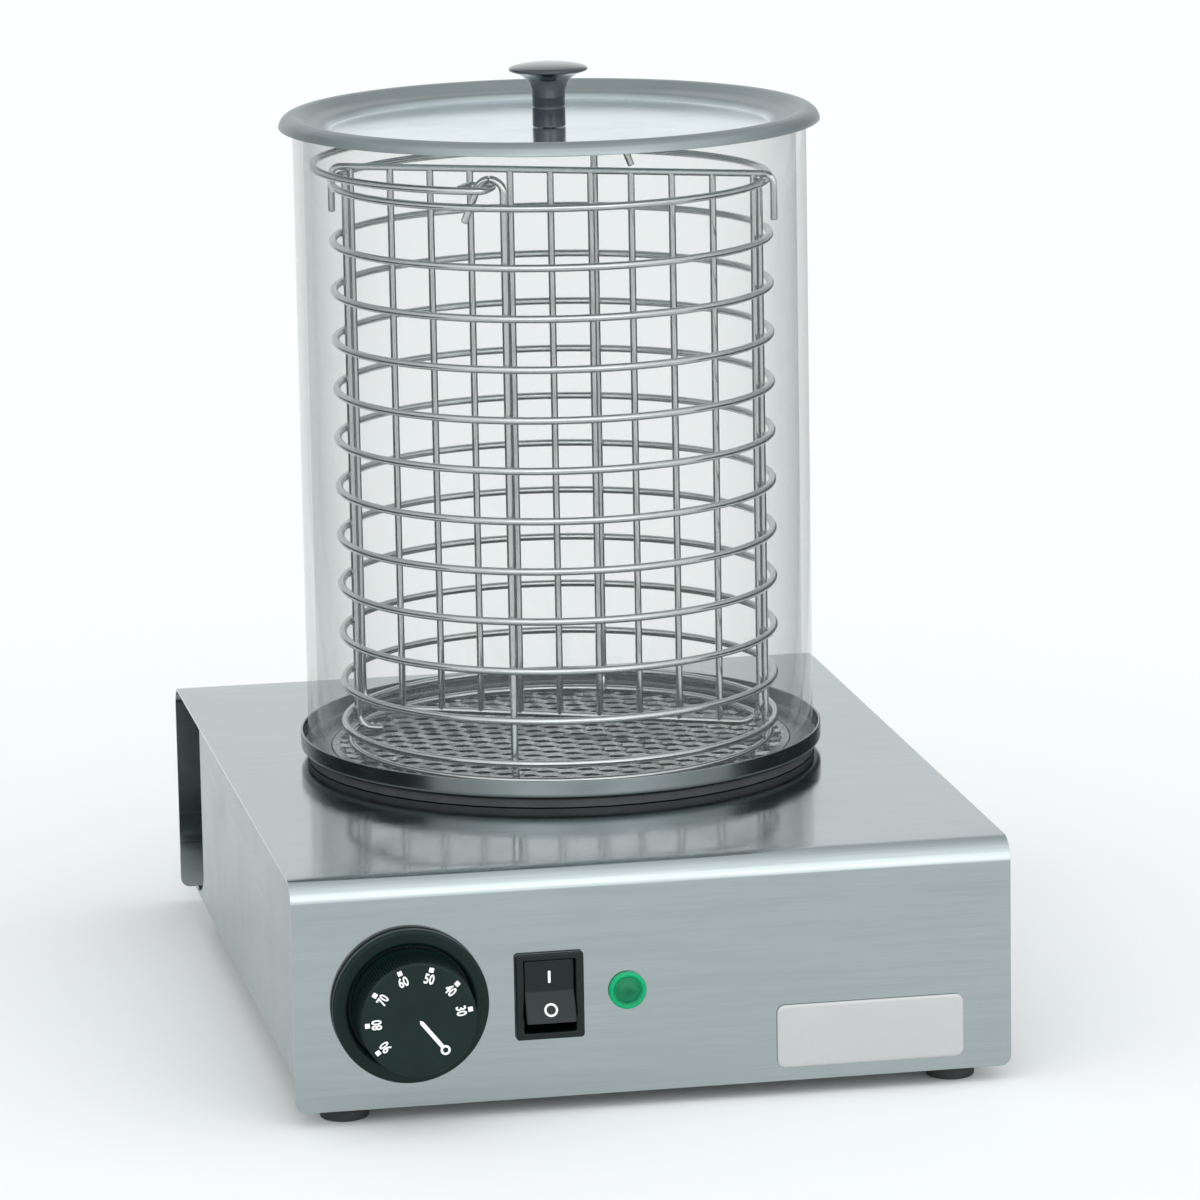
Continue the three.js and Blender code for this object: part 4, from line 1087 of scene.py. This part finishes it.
class AddDripPlate(SteamerOperator, bpy.types.Operator):
    """Expanded-metal plate: staggered strands that meet at their knuckles, in a plain rim"""
    bl_idname = "steamer.drip_plate"
    bl_label = "Drip plate"

    def make(self, sizes):
        low, high = DRIP_LOW[2], DRIP_HIGH[2]
        radius = DRIP_HIGH[0]
        inner = radius - 3.2
        middle = (low + high) / 2
        surfaces = [revolve(round_loop([(inner, low + 0.1), (radius, low + 0.1), (radius, high - 0.2),
                                        (inner, high - 0.2)], 0.3, 3), upright(), 128, ring=True)]
        long_way, short_way = sizes.strand_long / MM, sizes.strand_short / MM
        row_pitch = short_way / 2
        rows = int(inner / row_pitch)
        for row in range(-rows, rows + 1):
            y = row * row_pitch
            reach = math.sqrt(max((inner + 1.0) ** 2 - y * y, 0))
            if reach > long_way:
                surfaces.append(self.strand(y, reach, row % 2, long_way, row_pitch, middle))
        new_piece("expanded_plate", "plate", finish("drip"), surfaces,
                  ["drip_plate"], crease=30)

    @staticmethod
    def strand(y, reach, odd, long_way, row_pitch, middle):
        """One strand: y + s (d/2 - 0.25) w(x), where w is a wave with flat knuckles, s is 1 or
        -1 on alternate rows, and its flat section leans over as slit sheet does."""
        steps = int(2 * reach / long_way * 12)
        x = np.linspace(-reach, reach, steps)
        wave = np.clip(1.5 * np.cos(TAU * x / long_way), -1, 1)
        path = y + (1 if odd else -1) * (row_pitch / 2 - 0.25) * wave
        lean = math.radians(50)
        flat = np.array([(-0.7, -0.28), (0.7, -0.28), (0.7, 0.28), (-0.7, 0.28)])
        c, s = math.cos(lean), math.sin(lean)
        section = flat @ np.array([[c, s], [-s, c]])
        rows = np.empty((steps, 4, 3))
        rows[..., 0] = x[:, None]
        rows[..., 1] = WELL + path[:, None] + section[:, 0]
        rows[..., 2] = middle + section[:, 1] + 0.04 * (path - y)[:, None]
        return loft(rows, rows[0].mean(axis=0), rows[-1].mean(axis=0))


class AddGlass(SteamerOperator, bpy.types.Operator):
    """Glass cylinder with fire-polished ends"""
    bl_idname = "steamer.glass"
    bl_label = "Glass cylinder"

    def make(self, sizes):
        outer, wall = GLASS_HIGH[0], 4.0
        low, high = GLASS_LOW[2], GLASS_HIGH[2]
        section = round_loop([(outer - wall, low), (outer, low), (outer, high),
                              (outer - wall, high)], 1.1, 6)
        new_piece("glass_tube", "glass", finish("glass"),
                  [revolve(section, upright(), 160, ring=True)], ["glass_cylinder"])


# ---- basket -------------------------------------------------------------------------------

def hook_path(sign):
    """The top of a front or rear upright, from its free end: up, over an arch and straight on.
    sign is 1 at the rear and -1 at the front."""
    y = sign * UPRIGHT_RADIUS
    centre = (sign * HOOK_RADIUS, y, PIVOT_Z - HOOK_RADIUS + 3.3)
    arch = arc(centre, HOOK_RADIUS, (-sign, 0, 0), (0, 0, 1), 0, 155, 22)
    tip = arch[-1] + np.array([sign * 5.5, 0, 0])
    tip[2] = TOP_RING_Z - 6
    t = np.linspace(0, 1, 6)[:-1, None]
    return np.concatenate([tip + t * (arch[-1] - tip), arch[::-1]])


class AddBasket(SteamerOperator, bpy.types.Operator):
    """Wire basket: rings welded round four uprights, of which the front and rear end in hooks"""
    bl_idname = "steamer.basket"
    bl_label = "Basket"

    def make(self, sizes):
        wire, base, bend, foot = sizes.wire / MM, BASE_RING_Z, 6.0, 4.0
        surfaces = [hoop(RING_RADIUS, z, wire) for z in RING_HEIGHTS]
        surfaces += [hoop(BASE_RING_RADIUS, base, wire), *self.welds(wire)]
        inner = UPRIGHT_RADIUS - bend
        for x, y in ((0, -1), (0, 1), (-1, 0), (1, 0)):
            top = hook_path(y) if y else [(x * UPRIGHT_RADIUS, 0, TOP_RING_Z + 1)]
            turn = arc((x * inner, y * inner, base + bend), bend, (x, y, 0), (0, 0, -1), 0, 90, 10)
            end = (x * (inner - foot), y * (inner - foot), base)
            surfaces.append(tube(np.concatenate([top, turn, [end]]), wire, (y or 0.3, x, 0), 12))
        new_piece("wire_basket", "basket", finish("wire"),
                  [turned(surface, BASKET_TURN) for surface in surfaces], ["basket"])

    @staticmethod
    def welds(wire):
        """Small squashed beads where a ring crosses an upright."""
        beads = []
        u = np.linspace(0, math.pi, 7)[1:-1]
        r = np.stack([0.95 * np.sin(u), 0.62 * np.cos(u)], -1)
        middle = (RING_RADIUS + UPRIGHT_RADIUS) / 2
        for z in RING_HEIGHTS:
            for quarter in range(4):
                d = unit(90 * quarter)
                for lift in (-1, 1):
                    spot = np.array([middle * d[0], middle * d[1], z + lift * 0.75 * wire])
                    a = np.linspace(0, TAU, 8, endpoint=False)
                    rows = np.stack([r[:, :1] * np.cos(a), r[:, :1] * np.sin(a),
                                     r[:, 1:] + 0 * a], -1) + spot
                    beads.append(loft(rows, spot + [0, 0, 0.62], spot - [0, 0, 0.62]))
        return beads


class AddHandle(SteamerOperator, bpy.types.Operator):
    """Bail handle: half a ring whose ends are bent into long eyes round the hooks' legs"""
    bl_idname = "steamer.handle"
    bl_label = "Basket handle"

    def make(self, sizes):
        half = arc((0, 0, PIVOT_Z), HANDLE_RADIUS, (0, 1, 0), (-1, 0, 0), 4, 176, 96)

        def eye(sign):
            """From the half ring's end in under the arch, across, and back beside the leg."""
            start, inner, end = (sign * y for y in (HANDLE_RADIUS - 1.2, 77.2, HANDLE_RADIUS - 4.6))
            return np.array([(0, start, PIVOT_Z), (0, inner, PIVOT_Z),
                             (-2 * HOOK_RADIUS, inner, PIVOT_Z), (-2 * HOOK_RADIUS, end, PIVOT_Z)])

        rear, front = eye(1), eye(-1)
        route = np.concatenate([rear[::-1], half[1:-1], front])
        path = round_corners(route[:5], 3.2, 7)[:-1]
        tail = round_corners(route[-5:], 3.2, 7)[1:]
        whole = np.concatenate([path, route[5:-5], tail])
        new_piece("bail_handle", "handle", finish("wire"),
                  [turned(tube(whole, sizes.wire / MM, (0, 0, 1), 12), HANDLE_TURN)],
                  ["basket_handle"])


class AddDivider(SteamerOperator, bpy.types.Operator):
    """Wire divider: eleven upright wires in a frame whose top rail hooks over the basket"""
    bl_idname = "steamer.divider"
    bl_label = "Basket divider"

    def make(self, sizes):
        wire, reach, count = sizes.thin_wire / MM, 81.2, 11
        top, bottom, hook, drop = TOP_RING_Z + 1.5 + wire + 0.3, 107.0, 89.2, 18.0
        rail = round_corners([(-hook, 0, top - drop), (-hook, 0, top), (hook, 0, top),
                              (hook, 0, top - drop)], 4.5, 8)
        frame_wire = round_corners([(-reach, 0, top), (-reach, 0, bottom), (reach, 0, bottom),
                                    (reach, 0, top)], 9.0, 8)
        surfaces = [tube(rail, wire, (0, 1, 0), 12), tube(frame_wire, wire, (0, 1, 0), 12)]
        for x in np.linspace(-reach, reach, count)[1:-1]:
            bar = np.array([(x, 0, bottom), (x, 0, bottom + 3), (x, 0, top - 3), (x, 0, top)])
            surfaces.append(tube(bar, wire, (0, 1, 0), 12))
        new_piece("wire_divider", "divider", finish("wire"),
                  [turned(surface, DIVIDER_TURN) for surface in surfaces], ["basket_divider"])


# ---- lid ----------------------------------------------------------------------------------

class AddLid(SteamerOperator, bpy.types.Operator):
    """Pressed lid: a rolled outer flange, a step and a flat sunken floor"""
    bl_idname = "steamer.lid"
    bl_label = "Lid"

    def make(self, sizes):
        floor, sheet, hole = LID_UNDERSIDE + 0.9, 0.9, 2.6
        upper = [(105.3, floor + 2.0), (105.1, floor + 3.1), (104.2, floor + 4.9),
                 (102.6, floor + 6.2), (100.5, floor + 6.9), (98.4, floor + 6.6),
                 (96.2, floor + 5.3), (93.9, floor + 3.9), (92.2, floor + 3.3), (89.9, floor + 2.9),
                 (88.4, floor + 2.3), (87.0, floor + 1.1), (85.6, floor + 0.1)]
        inner = [(r - 0.4 * sheet, z - sheet) for r, z in upper[1:]][::-1]
        section = round_loop([*upper, (hole, floor), (hole, floor - sheet), *inner,
                              (105.3 - sheet * 0.6, floor + 2.0)], 0.8, 3)
        new_piece("lid_pressing", "lid", finish("lid"),
                  [revolve(section, upright(), 160, ring=True)], ["lid"])


class AddKnob(SteamerOperator, bpy.types.Operator):
    """Turned black knob: a domed cap on a flared neck with a fine groove above its foot"""
    bl_idname = "steamer.knob"
    bl_label = "Lid knob"

    def make(self, sizes):
        foot, top = KNOB_LOW[2], KNOB_HIGH[2]
        neck = [(0, foot + 11), (2.3, foot + 11), (2.3, foot), (6.4, foot), (6.5, foot + 0.6),
                (6.4, foot + 7.2), (6.15, foot + 7.6), (6.4, foot + 8.0), (6.4, top - 13),
                (6.7, top - 10.6), (7.5, top - 8.2), (9.0, top - 6.0), (11.2, top - 4.4),
                (13.6, top - 3.6), (15.0, top - 3.2), (15.5, top - 2.6), (15.2, top - 2.0),
                (13.9, top - 1.35), (11.4, top - 0.75), (8.0, top - 0.3), (4.0, top - 0.07),
                (0, top)]
        new_piece("turned_knob", "lid", finish("knob"),
                  [revolve(round_corners(neck, 0.8, 3), upright(), 96)], ["lid_knob"])


# ---- carried-over nodes and stage ---------------------------------------------------------

class FinishInnerParts(SteamerOperator, bpy.types.Operator):
    """Gives every part that keeps its own shape the material of its slot"""
    bl_idname = "steamer.inner_parts"
    bl_label = "Inner parts"

    def make(self, sizes):
        for part in frame["record"]["subparts"]:
            node = frame["nodes"][part["node"]]
            material = finish(SLOT_FINISHES[part["material_slot"]])
            for slot in node.material_slots:
                slot.material = material


CAMERA_PLACE = (-0.4211, -2.3405, 0.6466)
CAMERA_TURN = (10.481, 11.601, -1.018)      # yaw to the right, pitch down, roll, in degrees
CAMERA_LENS = 186.4

# The world's colour from in front of the steamer (0) to behind it (1), and its strength.
WORLD_STRENGTH = 2.6
WORLD_STOPS = [(0.0, (0.5, 0.51, 0.51)), (0.03, (1.0, 1.0, 1.0)), (0.165, (0.56, 0.57, 0.57)),
               (0.5, (0.31, 0.32, 0.32)), (0.85, (0.17, 0.18, 0.18)), (0.95, (0.36, 0.37, 0.37))]

SKY_LIGHT = 0.55                  # strength of the very soft, even light from above
SKY_SPREAD = 120.0
FLAG_SIDE, FLAG_START, FLAG_END, FLAG_TOP = 0.45, -0.2, 1.0, 0.26   # the dark cards, in metres


class SetStage(SteamerOperator, bpy.types.Operator):
    """Pale floor, soft studio light, dark cards and the camera"""
    bl_idname = "steamer.stage"
    bl_label = "Stage"

    def make(self, sizes):
        self.floor()
        self.world()
        self.light()
        self.flags()
        self.camera()

    @staticmethod
    def floor():
        f = Finish("pale_floor")
        mottle = f.noise(f.spot((400, 400, 400)), 3.0, 0.5)
        pale = tuple(bpy.context.scene.steamer_colours.floor)
        tone = f.blend(mottle, pale, shade(pale, 0.98))
        f.surface(base_color=tone, roughness=mottle * 0.1 + 0.6, specular_ior_level=0.0)
        half = 30000.0
        mesh = bpy.data.meshes.new("floor")
        mesh.from_pydata([(x * half * MM, y * half * MM, 0) for x, y in
                          ((-1, -1), (1, -1), (1, 1), (-1, 1))], [], [(0, 1, 2, 3)])
        mesh.materials.append(f.material)
        floor = bpy.data.objects.new("floor", mesh)
        bpy.context.scene.collection.objects.link(floor)

    @staticmethod
    def world():
        """White where the camera looks. What the steel mirrors is a bright band low in front of
        the steamer, then falls off overhead, and is bright again behind it."""
        world = bpy.data.worlds.new("studio")
        bpy.context.scene.world = world
        world.use_nodes = True
        nodes, links = world.node_tree.nodes, world.node_tree.links
        nodes.clear()
        way = nodes.new("ShaderNodeTexCoord")
        parts = nodes.new("ShaderNodeSeparateXYZ")
        links.new(way.outputs["Generated"], parts.inputs[0])
        ramp = nodes.new("ShaderNodeValToRGB")
        Finish.set_stops(ramp.color_ramp.elements, WORLD_STOPS)
        lean = nodes.new("ShaderNodeMath")
        lean.operation = "MULTIPLY_ADD"
        lean.inputs[1].default_value, lean.inputs[2].default_value = 0.5, 0.5
        links.new(parts.outputs[1], lean.inputs[0])
        links.new(lean.outputs[0], ramp.inputs[0])
        seen = nodes.new("ShaderNodeLightPath")
        pick = nodes.new("ShaderNodeMix")
        pick.data_type = "RGBA"
        pick.inputs[7].default_value = (*(1 / WORLD_STRENGTH,) * 3, 1.0)
        links.new(seen.outputs["Is Camera Ray"], pick.inputs[0])
        links.new(ramp.outputs[0], pick.inputs[6])
        background = nodes.new("ShaderNodeBackground")
        background.inputs["Strength"].default_value = WORLD_STRENGTH
        links.new(pick.outputs[2], background.inputs["Color"])
        output = nodes.new("ShaderNodeOutputWorld")
        links.new(background.outputs[0], output.inputs["Surface"])

    @staticmethod
    def light():
        even = bpy.data.lights.new("even_light", "SUN")
        even.energy, even.angle = SKY_LIGHT, math.radians(SKY_SPREAD)
        bpy.context.scene.collection.objects.link(bpy.data.objects.new("even_light", even))

    @staticmethod
    def flags():
        """Two dark cards beside the steamer. Only mirrored rays see them: they draw the dark
        edges of the wires and of the glass."""
        f = Finish("dark_card")
        felt = f.noise(f.spot((60, 60, 60)), 3.0, 0.5)
        f.surface(base_color=f.blend(felt, (0.02, 0.024, 0.025), (0.035, 0.04, 0.041)),
                  roughness=0.9)
        for side, x in (("left", -FLAG_SIDE), ("right", FLAG_SIDE)):
            mesh = bpy.data.meshes.new(f"flag_{side}")
            mesh.from_pydata([(x, FLAG_START, 0.005), (x, FLAG_END, 0.005), (x, FLAG_END, FLAG_TOP),
                              (x, FLAG_START, FLAG_TOP)], [], [(0, 1, 2, 3)])
            mesh.materials.append(f.material)
            flag = bpy.data.objects.new(f"flag_{side}", mesh)
            bpy.context.scene.collection.objects.link(flag)
            flag.visible_camera = flag.visible_diffuse = flag.visible_shadow = False
            flag.visible_transmission = False

    @staticmethod
    def camera():
        data = bpy.data.cameras.new("camera")
        data.lens, data.sensor_width, data.clip_end = CAMERA_LENS, 36.0, 100.0
        camera = bpy.data.objects.new("camera", data)
        yaw, pitch, roll = (math.radians(a) for a in CAMERA_TURN)
        look = Vector((math.sin(yaw) * math.cos(pitch), math.cos(yaw) * math.cos(pitch),
                       -math.sin(pitch)))
        right = Vector((math.cos(yaw), -math.sin(yaw), 0.0))
        up = right.cross(look)
        across = right * math.cos(roll) + up * math.sin(roll)
        above = up * math.cos(roll) - right * math.sin(roll)
        frame_axes = Matrix((across, above, -look)).transposed().to_4x4()
        camera.matrix_world = Matrix.Translation(CAMERA_PLACE) @ frame_axes
        bpy.context.scene.collection.objects.link(camera)
        bpy.context.scene.camera = camera
        bpy.context.scene.view_settings.view_transform = "Standard"


OPERATORS = (SetStage, AddCover, AddTray, AddFeet, AddNamePlate, AddGland, AddDial, AddSwitch,
             AddLamp, AddPan, AddDripPlate, AddGlass, AddBasket, AddHandle, AddDivider, AddLid,
             AddKnob, FinishInnerParts)


class SteamerPanel(bpy.types.Panel):
    """Lists the steamer's settings and pieces"""
    bl_idname = "VIEW3D_PT_steamer"
    bl_label = "Hot dog steamer"
    bl_space_type = "VIEW_3D"
    bl_region_type = "UI"
    bl_category = "Steamer"

    def draw(self, context):
        for group in (context.scene.steamer_sizes, context.scene.steamer_colours):
            box = self.layout.box()
            for name in group.__annotations__:
                box.prop(group, name)
        for operator in OPERATORS:
            self.layout.operator(operator.bl_idname)


CLASSES = (SteamerSizes, SteamerColours, *OPERATORS, SteamerPanel)


def register():
    for cls in CLASSES:
        bpy.utils.register_class(cls)
    bpy.types.Scene.steamer_sizes = PointerProperty(type=SteamerSizes)
    bpy.types.Scene.steamer_colours = PointerProperty(type=SteamerColours)


def unregister():
    del bpy.types.Scene.steamer_sizes
    del bpy.types.Scene.steamer_colours
    for cls in reversed(CLASSES):
        bpy.utils.unregister_class(cls)


def main():
    register()
    for operator in OPERATORS:
        group, name = operator.bl_idname.split(".")
        getattr(getattr(bpy.ops, group), name)()


if __name__ == "__main__":
    main()
